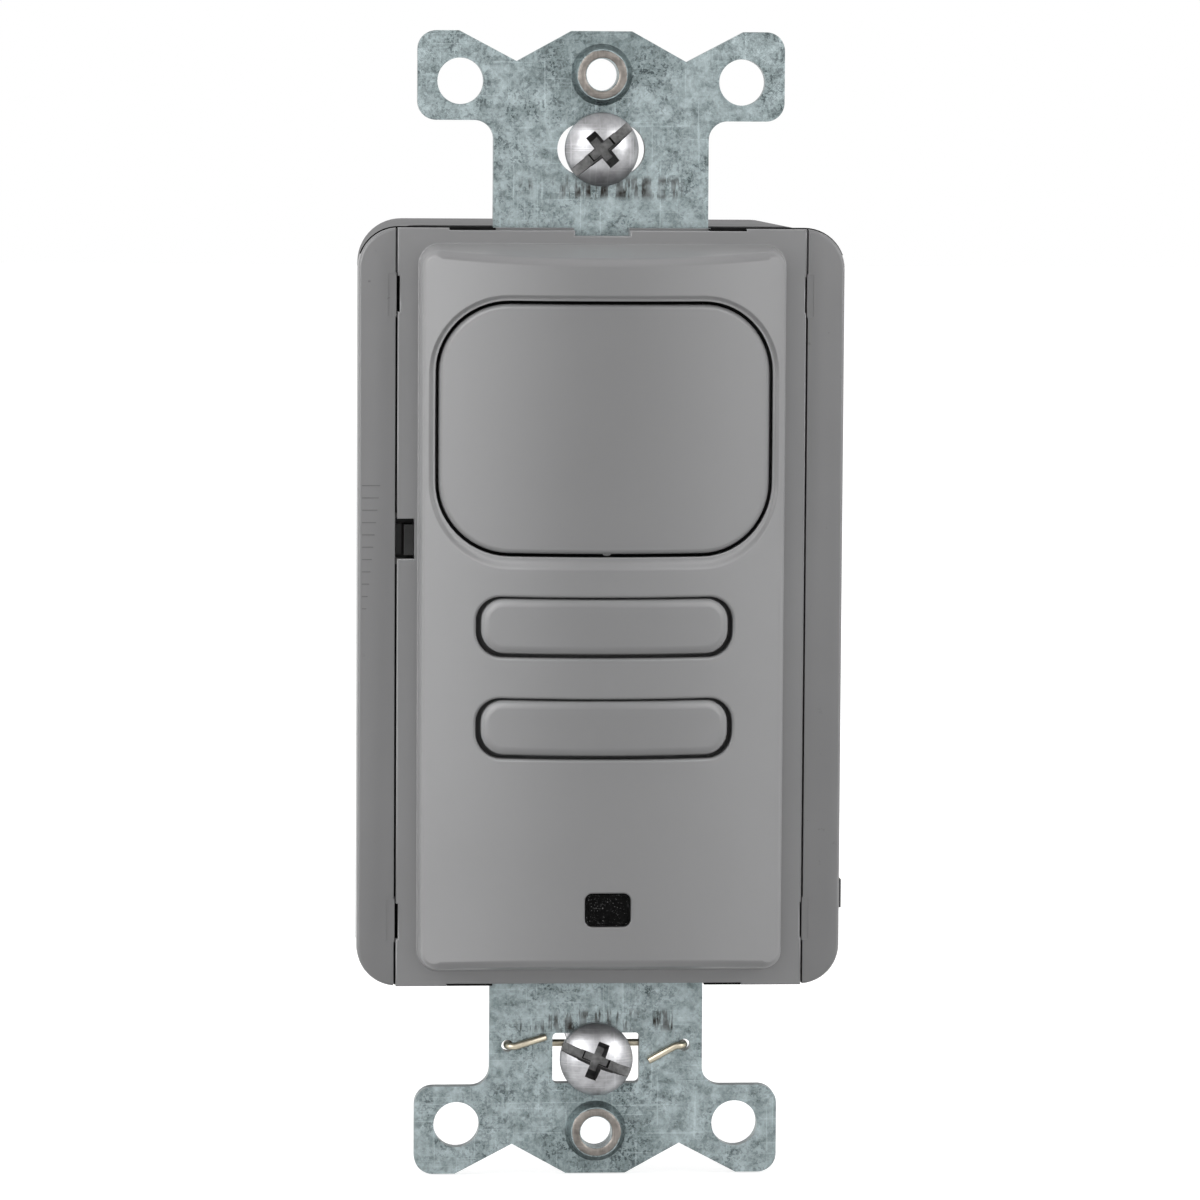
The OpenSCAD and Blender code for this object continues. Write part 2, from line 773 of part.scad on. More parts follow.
module ground_wire_clip() {
    right = half_wire(wire_right_end, -wire_right_tilt);
    left = half_wire(wire_left_end, wire_left_tilt);
    line = concat(
        [for (i = [len(left) - 1 : -1 : 1]) [-left[i][0], left[i][1], left[i][2]]],
        right
    );
    color("tan")
        translate([0, 0, -box_screw_z])
            tube(line, wire_d, 12);
}

// Box screws

// A domed head whose underside is at y = 0 and whose slot is turned from level
module domed_head(d, h, rim, turn) {
    cap = h - rim;
    dome_r = (d * d / 4 + cap * cap) / (2 * cap);
    difference() {
        intersection() {
            rod(d, -h, 0);
            translate([0, dome_r - h, 0])
                sphere(r = dome_r, $fn = 96);
        }
        rotate([0, -turn, 0])
            span([-d, d], [-h - over, -h + drive_slot_depth], [-drive_slot_w / 2, drive_slot_w / 2]);
    }
}

module box_screw(turn) {
    union() {
        translate([0, strap_front - face_gap, 0])
            domed_head(screw_head_d, screw_head_h, screw_rim_h, turn);
        rod(screw_neck_d, strap_front - face_gap - over / 4, thread_start);
        rod(screw_d, thread_start, screw_reach);
    }
}

module top_mounting_screw() {
    color("silver")
        translate([0, 0, box_screw_z])
            box_screw(upper_slot_turn);
}

module bottom_mounting_screw() {
    color("silver")
        translate([0, 0, -box_screw_z])
            box_screw(lower_slot_turn);
}

module top_screw_retainer() {
    color("dimgray")
        translate([0, 0, box_screw_z])
            difference() {
                rod(washer_d, face_gap, washer_back);
                rod(screw_neck_d + 2 * running, -over, washer_back + over);
            }
}

// Front housing

module front_housing() {
    cover_gap_w = cover_w + 2 * seam;
    rod_hole = rod_d + 2 * sliding;
    color("dimgray")
        difference() {
            union() {
                difference() {
                    plate(wing_front, strap_front)
                        rounded(body_w, body_h, body_r);
                    span([-cover_gap_w / 2, cover_gap_w / 2], [wing_front - over, floor_front],
                         [-body_h, body_h]);
                }
                side_skirts();
                four(case_screw_spacing_x, case_screw_spacing_z)
                    rod(boss_d, strap_front - floor_t / 2, front_boss_l);
            }
            four(case_screw_spacing_x, case_screw_spacing_z)
                rod(boss_d / 2, strap_front + case_pilot_floor, front_boss_l + over);
            plate(floor_front - over, over)
                translate([0, lens_z])
                    rounded(view_w, view_h, view_r);
            for (z = [upper_button_z, lower_button_z])
                translate([0, 0, z])
                    rod(rod_hole, floor_front - over, over);
            translate([photo_x, 0, photo_z])
                rod(light_pipe_d + 2 * loose, floor_front - over, over);
            span([key_notch_inner_x - key_notch_w, key_notch_inner_x + face_gap],
                 [floor_front - over, over],
                 [key_notch_z - key_notch_h / 2, key_notch_z + key_notch_h / 2]);
            span([-pry_notch_w / 2, pry_notch_w / 2], [floor_front - over, over],
                 [body_h / 2 - pry_notch_depth, body_h]);
            for (sx = [-1, 1], sz = [-1, 1])
                translate([sx * (cover_gap_w / 2 + snap_recess_w / 2), 0, sz * snap_slot_spacing / 2])
                    span([-snap_recess_w / 2 - seam, snap_recess_w / 2],
                         [wing_front - over, wing_front + snap_recess_depth],
                         [-snap_slot_h / 2, snap_slot_h / 2]);
            locating_pins()
                rod(locating_pin_d + 2 * running, floor_front - over, over);
            side_catch(loose);
        }
}

// The skirts at the sides, which keep clear of the strap's frame
module side_skirts() {
    frame_room = frame_w / 2 + loose;
    difference() {
        for (s = [-1, 1])
            translate([s * (body_w / 2 - skirt_w / 2), 0, 0])
                span([-skirt_w / 2, skirt_w / 2], [strap_front - floor_t / 2, 0],
                     [-skirt_h / 2, skirt_h / 2]);
        span([-frame_room, frame_room], [strap_front, over], [-skirt_h, skirt_h]);
    }
}

// Puts children at the cover's four locating pins, under its flange
module locating_pins() {
    four(cover_w - 2, locating_pin_spacing)
        children();
}

// The catch that rises from the rear housing's right wall and hooks over the front housing's edge
module side_catch(gap) {
    root = rear_w / 2 - rear_wall / 4;
    outside = body_w / 2 + catch_out;
    span([root - gap, outside], [strap_front - catch_hook - gap, gap > 0 ? over : rear_wall],
         [catch_z - catch_h / 2 - gap, catch_z + catch_h / 2 + gap]);
}

// Front cover

module front_cover() {
    color("gray")
        difference() {
            union() {
                plate(flange_front, floor_front)
                    rounded(cover_w, body_h, 0.5);
                face_block(0, floor_front);
                locating_pins()
                    rod(locating_pin_d, floor_front - flange_t / 2, floor_front + locating_pin_l);
            }
            face_block(shell_t, floor_front + over);
            plate(crown_front - over, lens_back)
                translate([0, lens_z])
                    rounded(lens_w + 2 * lens_gap, lens_h + 2 * lens_gap, lens_r + lens_gap);
            plate(crown_front - over, flange_front)
                for (z = [upper_button_z, lower_button_z])
                    translate([0, z])
                        rounded(button_w + 2 * button_gap_x, button_h + 2 * button_gap_z,
                                button_r + button_gap_z);
            plate(crown_front - over, flange_front)
                translate([photo_x, photo_z])
                    rounded(photo_w + 2 * face_gap, photo_h + 2 * face_gap, photo_r + face_gap);
            span([-cover_w, key_notch_inner_x], [flange_front - over, over],
                 [key_notch_z - key_notch_h / 2, key_notch_z + key_notch_h / 2]);
            span([-pry_notch_w / 2, pry_notch_w / 2], [flange_front - over, over],
                 [body_h / 2 - pry_notch_depth, body_h]);
            for (sx = [-1, 1], sz = [-1, 1])
                translate([sx * (cover_w / 2 - snap_slot_w / 2), 0, sz * snap_slot_spacing / 2])
                    span([-snap_slot_w / 2 - (sx > 0 ? 0 : over), snap_slot_w / 2 + (sx > 0 ? over : 0)],
                         [flange_front - over, over],
                         [-snap_slot_h / 2, snap_slot_h / 2]);
        }
}

// Lens and its retainer

module pir_lens() {
    shell_inset = shell_t + face_gap;
    color("gainsboro")
        translate([0, 0, lens_z])
            difference() {
                union() {
                    crowned(lens_recess, lens_back)
                        rounded(lens_w, lens_h, lens_r);
                    crown_layer(shell_inset, lens_flange_t)
                        rounded(lens_w - 2 * lens_r, lens_h + 2 * (lens_gap + lens_flange), 1);
                }
                crowned(lens_recess + lens_t, 0)
                    rounded(lens_w - 2 * lens_t, lens_h - 2 * lens_t, lens_r - lens_t);
            }
}

module lens_retainer() {
    margin = 2 * (lens_gap + lens_flange);
    color("black")
        translate([0, 0, lens_z])
            plate(retainer_front, floor_front - face_gap)
                difference() {
                    rounded(lens_w, lens_h + margin, lens_r);
                    rounded(view_w, view_h, view_r);
                }
}

// Buttons

// A cap that follows the crown, its flange behind the cover and its rod
module button_piece() {
    cap_inset = shell_t + 0.2;
    union() {
        crown_layer(-button_proud, button_t + button_proud + 0.2)
            rounded(button_w, button_h, button_r);
        crown_layer(cap_inset, button_flange_t)
            rounded(button_w + 2 * button_flange, button_h + 2 * button_flange, button_r + button_flange);
        rod(rod_d, crown_front + button_t, stem_front);
    }
}

module upper_button() {
    color("darkgray")
        translate([0, 0, upper_button_z])
            button_piece();
}

module lower_button() {
    color("darkgray")
        translate([0, 0, lower_button_z])
            button_piece();
}

// A stem that runs in a bore of its switch
module switch_stem(d, front, travel) {
    rod(d, front, front + stem_out + travel / 4);
}

module upper_switch_stem() {
    color("ivory")
        translate([0, 0, upper_button_z])
            switch_stem(stem_d, stem_front, button_travel);
}

module lower_switch_stem() {
    color("ivory")
        translate([0, 0, lower_button_z])
            switch_stem(stem_d, stem_front, button_travel);
}

module photocell_switch_stem() {
    color("ivory")
        translate([key_x, 0, key_z])
            switch_stem(small_stem_d, small_stem_front, key_travel);
}

// Photocell window and key

module photocell_window() {
    inset = shell_t + face_gap;
    pipe_end = control_board_y - photodiode_h - loose;
    color("black")
        translate([photo_x, 0, photo_z])
            union() {
                translate([-photo_x, 0, 0])
                    crown_layer(-face_gap, inset + photo_flange_t)
                        translate([photo_x, 0])
                            rounded(photo_w, photo_h, photo_r);
                translate([-photo_x, 0, 0])
                    crown_layer(inset, photo_flange_t)
                        translate([photo_x, 0])
                            rounded(photo_w + 2 * photo_flange_edge, photo_h + 2 * photo_flange_edge,
                                    photo_r);
                rod(light_pipe_d, crown_front + shell_t, pipe_end);
            }
}

module photocell_key() {
    front = flange_front + key_recess;
    flange_y = strap_front + face_gap;
    blade_x = key_notch_inner_x - key_notch_w + face_gap;
    web_y = floor_front + loose;
    color("black")
        union() {
            span([key_x - key_w / 2, key_x + key_w / 2 - face_gap], [front, small_stem_front],
                 [key_z - key_h / 2, key_z + key_h / 2]);
            span([blade_x, blade_x + key_blade_w], [web_y, flange_y + key_flange_t / 2],
                 [key_z - key_h / 2, key_z + key_h / 2]);
            translate([key_x, 0, key_z])
                span([-key_flange_w / 2, key_flange_w / 2], [flange_y, flange_y + key_flange_t],
                     [-key_flange_h / 2, key_flange_h / 2]);
        }
}

// Rear housing

// Runs the children once for each terminal pocket, moved to its side and height
module each_pocket() {
    for (t = TERMINALS)
        translate([0, terminal_y, t[1]])
            mirror([t[0] < 0 ? 1 : 0, 0, 0])
                children();
}

module rear_housing() {
    cavity_w = rear_w - 2 * rear_wall;
    cavity_h = rear_h - 2 * rear_wall;
    counterbore_boss = counterbore_d + 2 * counterbore_wall;
    shoulder = case_head_y - 2;
    color("darkslategray")
        difference() {
            union() {
                difference() {
                    plate(0, rear_depth)
                        rounded(rear_w, rear_h, rear_r);
                    plate(-over, rear_depth - back_t)
                        rounded(cavity_w, cavity_h, rear_r - rear_wall);
                }
                each_pocket()
                    span([pocket_floor_x - pocket_wall, rear_w / 2 - rear_wall / 2],
                         [-pocket_l / 2 - pocket_wall, pocket_l / 2 + pocket_wall],
                         [-pocket_w / 2 - pocket_wall, pocket_w / 2 + pocket_wall]);
                four(case_screw_spacing_x, case_screw_spacing_z) {
                    rod(boss_d, front_boss_l + face_gap, rear_depth - back_t / 2);
                    rod(counterbore_boss, shoulder, rear_depth - back_t / 2);
                }
                four(post_spacing_x, post_spacing_z) {
                    rod(post_d, control_board_back, rear_depth - back_t / 2);
                    rod(post_pin_d, control_board_y - 0.5, rear_depth - back_t / 2);
                }
                four(power_board_w - 10, power_board_h - 8)
                    rod(post_d, power_board_back, rear_depth - back_t / 2);
                side_catch(0);
            }
            each_pocket() {
                span([pocket_floor_x, rear_w], [-pocket_l / 2, pocket_l / 2], [-pocket_w / 2, pocket_w / 2]);
                side_rod(screw_d + 2 * loose, 1, pocket_floor_x - pocket_wall - over, pocket_floor_x + over);
            }
            for (t = [LINE, LOAD_1, LOAD_2, NEUTRAL])
                translate([0, pocket_back, t[1]])
                    mirror([t[0] < 0 ? 1 : 0, 0, 0])
                        span([pocket_floor_x, pocket_floor_x + t[2] + face_gap],
                             [-over, power_board_front - pocket_back],
                             [-tail_w / 2 - face_gap, tail_w / 2 + face_gap]);
            translate([0, 0, GROUND[1]])
                span([-pocket_floor_x - strap_t - face_gap, -pocket_floor_x], [-over, pocket_front + over],
                     [-lug_w / 2 - face_gap, lug_w / 2 + face_gap]);
            four(case_screw_spacing_x, case_screw_spacing_z) {
                rod(counterbore_d, case_head_y, rear_depth + over);
                rod(boss_d / 2 + 2 * sliding, 0, case_head_y + over);
            }
            power_board_room();
            key_switch_room();
        }
}

// Room that the walls leave around the power board's edges
module power_board_room() {
    half_w = power_board_w / 2 + loose;
    half_h = power_board_h / 2 + loose;
    span([-half_w, half_w], [power_board_front - loose, power_board_back], [-half_h, half_h]);
}

// Room that the walls leave around the key's switch
module key_switch_room() {
    half = small_switch_w / 2 + loose;
    span([key_x - half, key_x + half], [small_stem_front - loose, control_board_y],
         [key_z - half, key_z + half]);
}

module case_screws() {
    head_back = case_head_y + case_head_h;
    head_d = counterbore_d - loose;
    drive_l = head_d / 2;
    drive_w = head_d / 7;
    drive_depth = case_head_h / 2;
    color("silver")
        four(case_screw_spacing_x, case_screw_spacing_z)
            difference() {
                union() {
                    rod(boss_d / 2 - 2 * running, strap_front + case_pilot_floor + loose,
                        case_head_y + case_head_h / 8);
                    rod(head_d, case_head_y, head_back);
                }
                for (a = [0, 90])
                    rotate([0, a, 0])
                        span([-drive_l / 2, drive_l / 2], [head_back - drive_depth, head_back + over],
                             [-drive_w / 2, drive_w / 2]);
            }
}

// Terminals

// A flat plate against the pocket's floor, with a tail to the power board
module terminal_plate(t) {
    color("goldenrod")
        translate([0, terminal_y, t[1]])
            mirror([t[0] < 0 ? 1 : 0, 0, 0])
                difference() {
                    union() {
                        span([pocket_floor_x, pocket_floor_x + t[2]],
                             [-terminal_l / 2, terminal_l / 2], [-terminal_w / 2, terminal_w / 2]);
                        span([pocket_floor_x, pocket_floor_x + t[2]],
                             [terminal_l / 2 - over, power_board_front - terminal_y],
                             [-tail_w / 2, tail_w / 2]);
                    }
                    side_rod(screw_d + 2 * running, 1, pocket_floor_x - over, pocket_floor_x + t[2] + over);
                }
}

// A pressure plate that the screw draws onto the wire
module terminal_clamp(t) {
    x0 = pocket_floor_x + t[2];
    half_w = pocket_w / 2 - loose;
    lip = 0.6;
    color("khaki")
        translate([0, terminal_y, t[1]])
            mirror([t[0] < 0 ? 1 : 0, 0, 0])
                difference() {
                    union() {
                        span([x0, x0 + clamp_t], [-clamp_l / 2, clamp_l / 2], [-half_w, half_w]);
                        for (s = [-1, 1])
                            span([x0, x0 + clamp_t + lip],
                                 [-clamp_l / 2, clamp_l / 2],
                                 [s * half_w - (s > 0 ? lip : 0), s * half_w + (s > 0 ? 0 : lip)]);
                    }
                    side_rod(screw_d + 2 * running, 1, x0 - over, x0 + clamp_t + over);
                }
}

module terminal_screw(t, tone) {
    x0 = pocket_floor_x + t[2] + clamp_t;
    color(tone)
        translate([0, terminal_y, t[1]])
            mirror([t[0] < 0 ? 1 : 0, 0, 0])
                union() {
                    side_rod(screw_d, 1, x0 - terminal_screw_l, x0 + 0.1);
                    translate([x0, 0, 0])
                        rotate([0, 0, 90])
                            domed_head(terminal_head_d, terminal_head_h, terminal_head_h / 2, 0);
                }
}

module line_terminal() { terminal_plate(LINE); }
module load_1_terminal() { terminal_plate(LOAD_1); }
module load_2_terminal() { terminal_plate(LOAD_2); }
module neutral_terminal() { terminal_plate(NEUTRAL); }

module line_clamp() { terminal_clamp(LINE); }
module load_1_clamp() { terminal_clamp(LOAD_1); }
module load_2_clamp() { terminal_clamp(LOAD_2); }
module neutral_clamp() { terminal_clamp(NEUTRAL); }
module ground_clamp() { terminal_clamp(GROUND); }

module line_screw() { terminal_screw(LINE, "goldenrod"); }
module load_1_screw() { terminal_screw(LOAD_1, "firebrick"); }
module load_2_screw() { terminal_screw(LOAD_2, "steelblue"); }
module neutral_screw() { terminal_screw(NEUTRAL, "silver"); }
module ground_screw() { terminal_screw(GROUND, "seagreen"); }

// Control board and what it carries

module control_board() {
    key_tab_x = -(rear_w / 2 - rear_wall - loose);
    tab_h = small_switch_w + 4;
    color("darkgreen")
        difference() {
            union() {
                plate(control_board_y, control_board_back)
                    square([control_board_w, control_board_h], center = true);
                span([key_tab_x, 0], [control_board_y, control_board_back],
                     [key_z - tab_h / 2, key_z + tab_h / 2]);
            }
            four(case_screw_spacing_x, case_screw_spacing_z)
                span([-control_notch, control_notch], [control_board_y - over, control_board_back + over],
                     [-control_notch, control_notch]);
            four(post_spacing_x, post_spacing_z)
                rod(post_pin_d + 2 * running, control_board_y - over, control_board_back + over);
        }
}

module pyro_sensor() {
    base_d = 1.1 * pyro_d;
    base_t = pyro_h / 7;
    filter_w = pyro_d / 2;
    filter_h = 3 / 4 * filter_w;
    filter_depth = pyro_h / 14;
    front = control_board_y - pyro_h;
    color("silver")
        translate([0, 0, lens_z])
            difference() {
                union() {
                    rod(pyro_d, front, control_board_y);
                    rod(base_d, control_board_y - base_t, control_board_y);
                }
                span([-filter_w / 2, filter_w / 2], [front - over, front + filter_depth],
                     [-filter_h / 2, filter_h / 2]);
            }
}

// A switch body with the bore that its stem runs in
module tact_switch(w, h, bore, travel) {
    front = control_board_y - h;
    difference() {
        span([-w / 2, w / 2], [front, control_board_y], [-w / 2, w / 2]);
        rod(bore + 2 * sliding, front - over, front + travel * 1.5 + 0.2);
    }
}

module upper_tact_switch() {
    color("dimgray")
        translate([0, 0, upper_button_z])
            tact_switch(switch_w, switch_h, stem_d, button_travel);
}

module lower_tact_switch() {
    color("dimgray")
        translate([0, 0, lower_button_z])
            tact_switch(switch_w, switch_h, stem_d, button_travel);
}

module photocell_tact_switch() {
    color("dimgray")
        translate([key_x, 0, key_z])
            tact_switch(small_switch_w, small_switch_h, small_stem_d, key_travel);
}

module microcontroller() {
    color("black")
        translate([0, 0, (lower_button_z + photo_z) / 2])
            span([-chip_w / 2, chip_w / 2], [control_board_y - chip_t, control_board_y],
                 [-chip_w / 2, chip_w / 2]);
}

module photodiode() {
    color("midnightblue")
        translate([photo_x, 0, photo_z])
            rod(photodiode_d, control_board_y - photodiode_h, control_board_y);
}

module status_lamp() {
    color("tomato")
        translate([view_w / 2 - lamp_d, 0, lens_z - view_h / 2 + lamp_d])
            rod(lamp_d, control_board_y - lamp_h, control_board_y);
}

// Blocks on both boards with pins between them
module board_connector() {
    block_l = connector_pins * connector_pitch;
    block_w = connector_block;
    block_h = connector_block;
    pin_w = connector_pin_w;
    pin_hold = 0.4 * block_h;
    row_z = -power_board_h / 2 + block_w;
    color("black")
        translate([connector_x, 0, row_z])
            union() {
                span([-block_l / 2, block_l / 2], [control_board_back, control_board_back + block_h],
                     [-block_w / 2, block_w / 2]);
                span([-block_l / 2, block_l / 2], [power_board_front - block_h, power_board_front],
                     [-block_w / 2, block_w / 2]);
                for (i = [0 : connector_pins - 1])
                    translate([(i - (connector_pins - 1) / 2) * connector_pitch, 0, 0])
                        span([-pin_w / 2, pin_w / 2],
                             [control_board_back + pin_hold, power_board_front - pin_hold],
                             [-pin_w / 2, pin_w / 2]);
            }
}

// Power board and what it carries

module power_board() {
    color("darkgreen")
        plate(power_board_front, power_board_back)
            square([power_board_w, power_board_h], center = true);
}

// A relay standing on the power board, right of the middle
module relay() {
    span([relay_gap, relay_gap + relay_w], [power_board_front - relay_h, power_board_front],
         [relay_bottom_z, relay_bottom_z + relay_l]);
}

module relay_1() {
    color("royalblue")
        relay();
}

module relay_2() {
    color("royalblue")
        mirror([1, 0, 0])
            relay();
}

module film_capacitor() {
    color("gold")
        translate([film_x, 0, film_bottom_z])
            span([-film_w / 2, film_w / 2], [power_board_front - film_h, power_board_front], [0, film_t]);
}

module electrolytic_capacitor() {
    color("navy")
        translate([electrolytic_x, 0, electrolytic_z])
            rod(electrolytic_d, power_board_front - electrolytic_h, power_board_front);
}

// A disc on edge with its two leads
module varistor() {
    axis_h = varistor_d / 2 + varistor_stand;
    color("teal")
        translate([varistor_x, power_board_front - axis_h, varistor_z])
            union() {
                cylinder(d = varistor_d, h = varistor_t, center = true);
                for (s = [-1, 1])
                    translate([s * varistor_d / 4, 0, 0])
                        rod(varistor_lead_d, 0, axis_h);
            }
}

module power_inductor() {
    top = power_board_front - inductor_h;
    color("saddlebrown")
        translate([inductor_x, 0, inductor_z])
            union() {
                rod(inductor_d, power_board_front - inductor_flange_t, power_board_front);
                rod(inductor_d - inductor_flange_t, top + inductor_flange_t, power_board_front);
                rod(inductor_d, top, top + inductor_flange_t);
            }
}

mounting_strap();
ground_wire_clip();
top_screw_retainer();
top_mounting_screw();
bottom_mounting_screw();
front_housing();
rear_housing();
case_screws();
front_cover();
pir_lens();
lens_retainer();
photocell_window();
upper_button();
lower_button();
photocell_key();
upper_switch_stem();
lower_switch_stem();
photocell_switch_stem();
control_board();
pyro_sensor();
microcontroller();
photodiode();
status_lamp();
upper_tact_switch();
lower_tact_switch();
photocell_tact_switch();
board_connector();
power_board();
relay_1();
relay_2();
film_capacitor();
electrolytic_capacitor();
varistor();
power_inductor();
line_terminal();
load_1_terminal();
load_2_terminal();
neutral_terminal();
line_clamp();
load_1_clamp();
load_2_clamp();
neutral_clamp();
ground_clamp();
line_screw();
load_1_screw();
load_2_screw();
neutral_screw();
ground_screw();
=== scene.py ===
"""Motion sensor light switch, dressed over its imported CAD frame.

Shapes are worked out in millimetres and turned into metres when a mesh is made.
The front of the switch faces -Y, +X is right and +Z is up.
"""
import json
import logging
import math
import random
from collections.abc import Callable, Iterator
from dataclasses import dataclass, field
from enum import Enum

import bmesh
import bpy
import numpy as np
from bpy.types import ID, Material, Mesh, Node, NodeOutputs, NodeSocket, NodeTree, Object
from mathutils import Matrix, Vector
from mathutils.geometry import delaunay_2d_cdt


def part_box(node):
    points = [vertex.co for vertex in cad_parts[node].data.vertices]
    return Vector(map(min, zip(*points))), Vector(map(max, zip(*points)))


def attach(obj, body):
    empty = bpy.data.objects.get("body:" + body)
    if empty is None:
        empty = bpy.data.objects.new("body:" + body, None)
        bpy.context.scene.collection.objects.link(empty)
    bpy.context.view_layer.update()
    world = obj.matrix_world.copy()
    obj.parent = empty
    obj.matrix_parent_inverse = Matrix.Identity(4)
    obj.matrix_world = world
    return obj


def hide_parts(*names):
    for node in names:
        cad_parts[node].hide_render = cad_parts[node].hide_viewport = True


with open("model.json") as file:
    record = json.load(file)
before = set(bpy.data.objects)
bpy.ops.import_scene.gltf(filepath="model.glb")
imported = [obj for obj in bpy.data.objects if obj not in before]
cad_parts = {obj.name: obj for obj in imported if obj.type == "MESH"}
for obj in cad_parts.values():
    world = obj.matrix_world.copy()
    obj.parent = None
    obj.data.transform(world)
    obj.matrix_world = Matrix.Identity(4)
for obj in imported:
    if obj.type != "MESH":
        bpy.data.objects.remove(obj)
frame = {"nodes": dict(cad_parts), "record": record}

MM = 0.001
LOG = logging.getLogger("switch")

# Sizes shared with the CAD, in millimetres
STRAP_FRONT = -1.3
FLOOR_FRONT = -2.5
WING_FRONT = -3.7
FLANGE_FRONT = -4.0
CROWN_FRONT = -10.8
CROWN_R = 34.5
CROWN_AXIS = CROWN_FRONT + CROWN_R
SHELL_T = 1.3
LENS_BACK = -4.3
STEM_FRONT = 2.7
BOX_SCREW_Z = 41.67
PLATE_HOLE_Z = 48.42
THREAD_PITCH = 0.79375
TERMINAL_Y = 11.0

Pair = tuple[float, float]
Triple = tuple[float, float, float]
Quad = tuple[float, float, float, float]
Field = Callable[[float], object]
NONE = (0.0, 0.0, 0.0)
QUARTER = math.pi / 2
# Rounds that bring a wall and the crown that it meets together
ROUNDS = 6
# Height of a row of free points and their gap to every loop, as shares of their spacing
ROW_SHARE = 0.87
GAP_SHARE = 0.45


class Body(Enum):
    """Bodies of the frame that pieces ride on."""

    SWITCH = "switch_body"
    UPPER_BUTTON = "upper_button"
    LOWER_BUTTON = "lower_button"
    TOP_SCREW = "top_mounting_screw"
    BOTTOM_SCREW = "bottom_mounting_screw"
    LINE_SCREW = "line_screw"
    LOAD_1_SCREW = "load_1_screw"
    LOAD_2_SCREW = "load_2_screw"
    NEUTRAL_SCREW = "neutral_screw"
    GROUND_SCREW = "ground_screw"


class Side(Enum):
    """The two sides of the switch, as the sign of X."""

    LEFT = -1
    RIGHT = 1


# Mesh tools


def crown_y(x: float, inset: float = 0.0) -> float:
    """Depth of the crown's surface.

    Args:
        x: Sideways place in mm.
        inset: How far the surface lies below the crown.

    Returns:
        Y in mm.
    """
    radius = CROWN_R - inset
    return CROWN_AXIS - math.sqrt(radius * radius - x * x)


def angles(sides: int) -> list[float]:
    """Even angles round a circle, in radians."""
    return [2 * math.pi * k / sides for k in range(sides)]


def crown_normal(x: float) -> Triple:
    """Outward normal of the crown at a sideways place x."""
    return (x / CROWN_R, (crown_y(x) - CROWN_AXIS) / CROWN_R, 0.0)


def quarter_drop(distance: float, width: float, depth: float) -> float:
    """Depth of an elliptic edge rounding.

    Args:
        distance: Distance from the edge.
        width: Width of the rounding.
        depth: Its depth at the edge.

    Returns:
        How far the surface lies below its own level there.
    """
    if distance >= width:
        return 0.0
    share = (width - distance) / width
    return depth * (1.0 - math.sqrt(max(0.0, 1.0 - share * share)))


def step_drop(distance: float, ledge: float, width: float, depth: float) -> float:
    """Depth of a recessed ledge that rises in a soft step.

    Args:
        distance: Distance from the opening.
        ledge: Width of the flat ledge.
        width: Width of the soft step.
        depth: Depth of the ledge.

    Returns:
        How far the surface lies below its own level there.
    """
    share = min(1.0, max(0.0, (distance - ledge) / width))
    return depth * (1.0 - share * share * (3.0 - 2.0 * share))


def add_object(name: str, data: ID) -> Object:
    """Puts a mesh, lamp or camera into the scene.

    Args:
        name: Name of the object.
        data: The mesh, lamp or camera.

    Returns:
        The new object.
    """
    obj = bpy.data.objects.new(name, data)
    bpy.context.scene.collection.objects.link(obj)
    return obj


def shade(mesh: Mesh, sharp: float) -> None:
    """Shades a mesh smooth, apart from edges of sharp degrees and more."""
    mesh.polygons.foreach_set("use_smooth", [True] * len(mesh.polygons))
    mesh.set_sharp_from_angle(angle=math.radians(sharp))


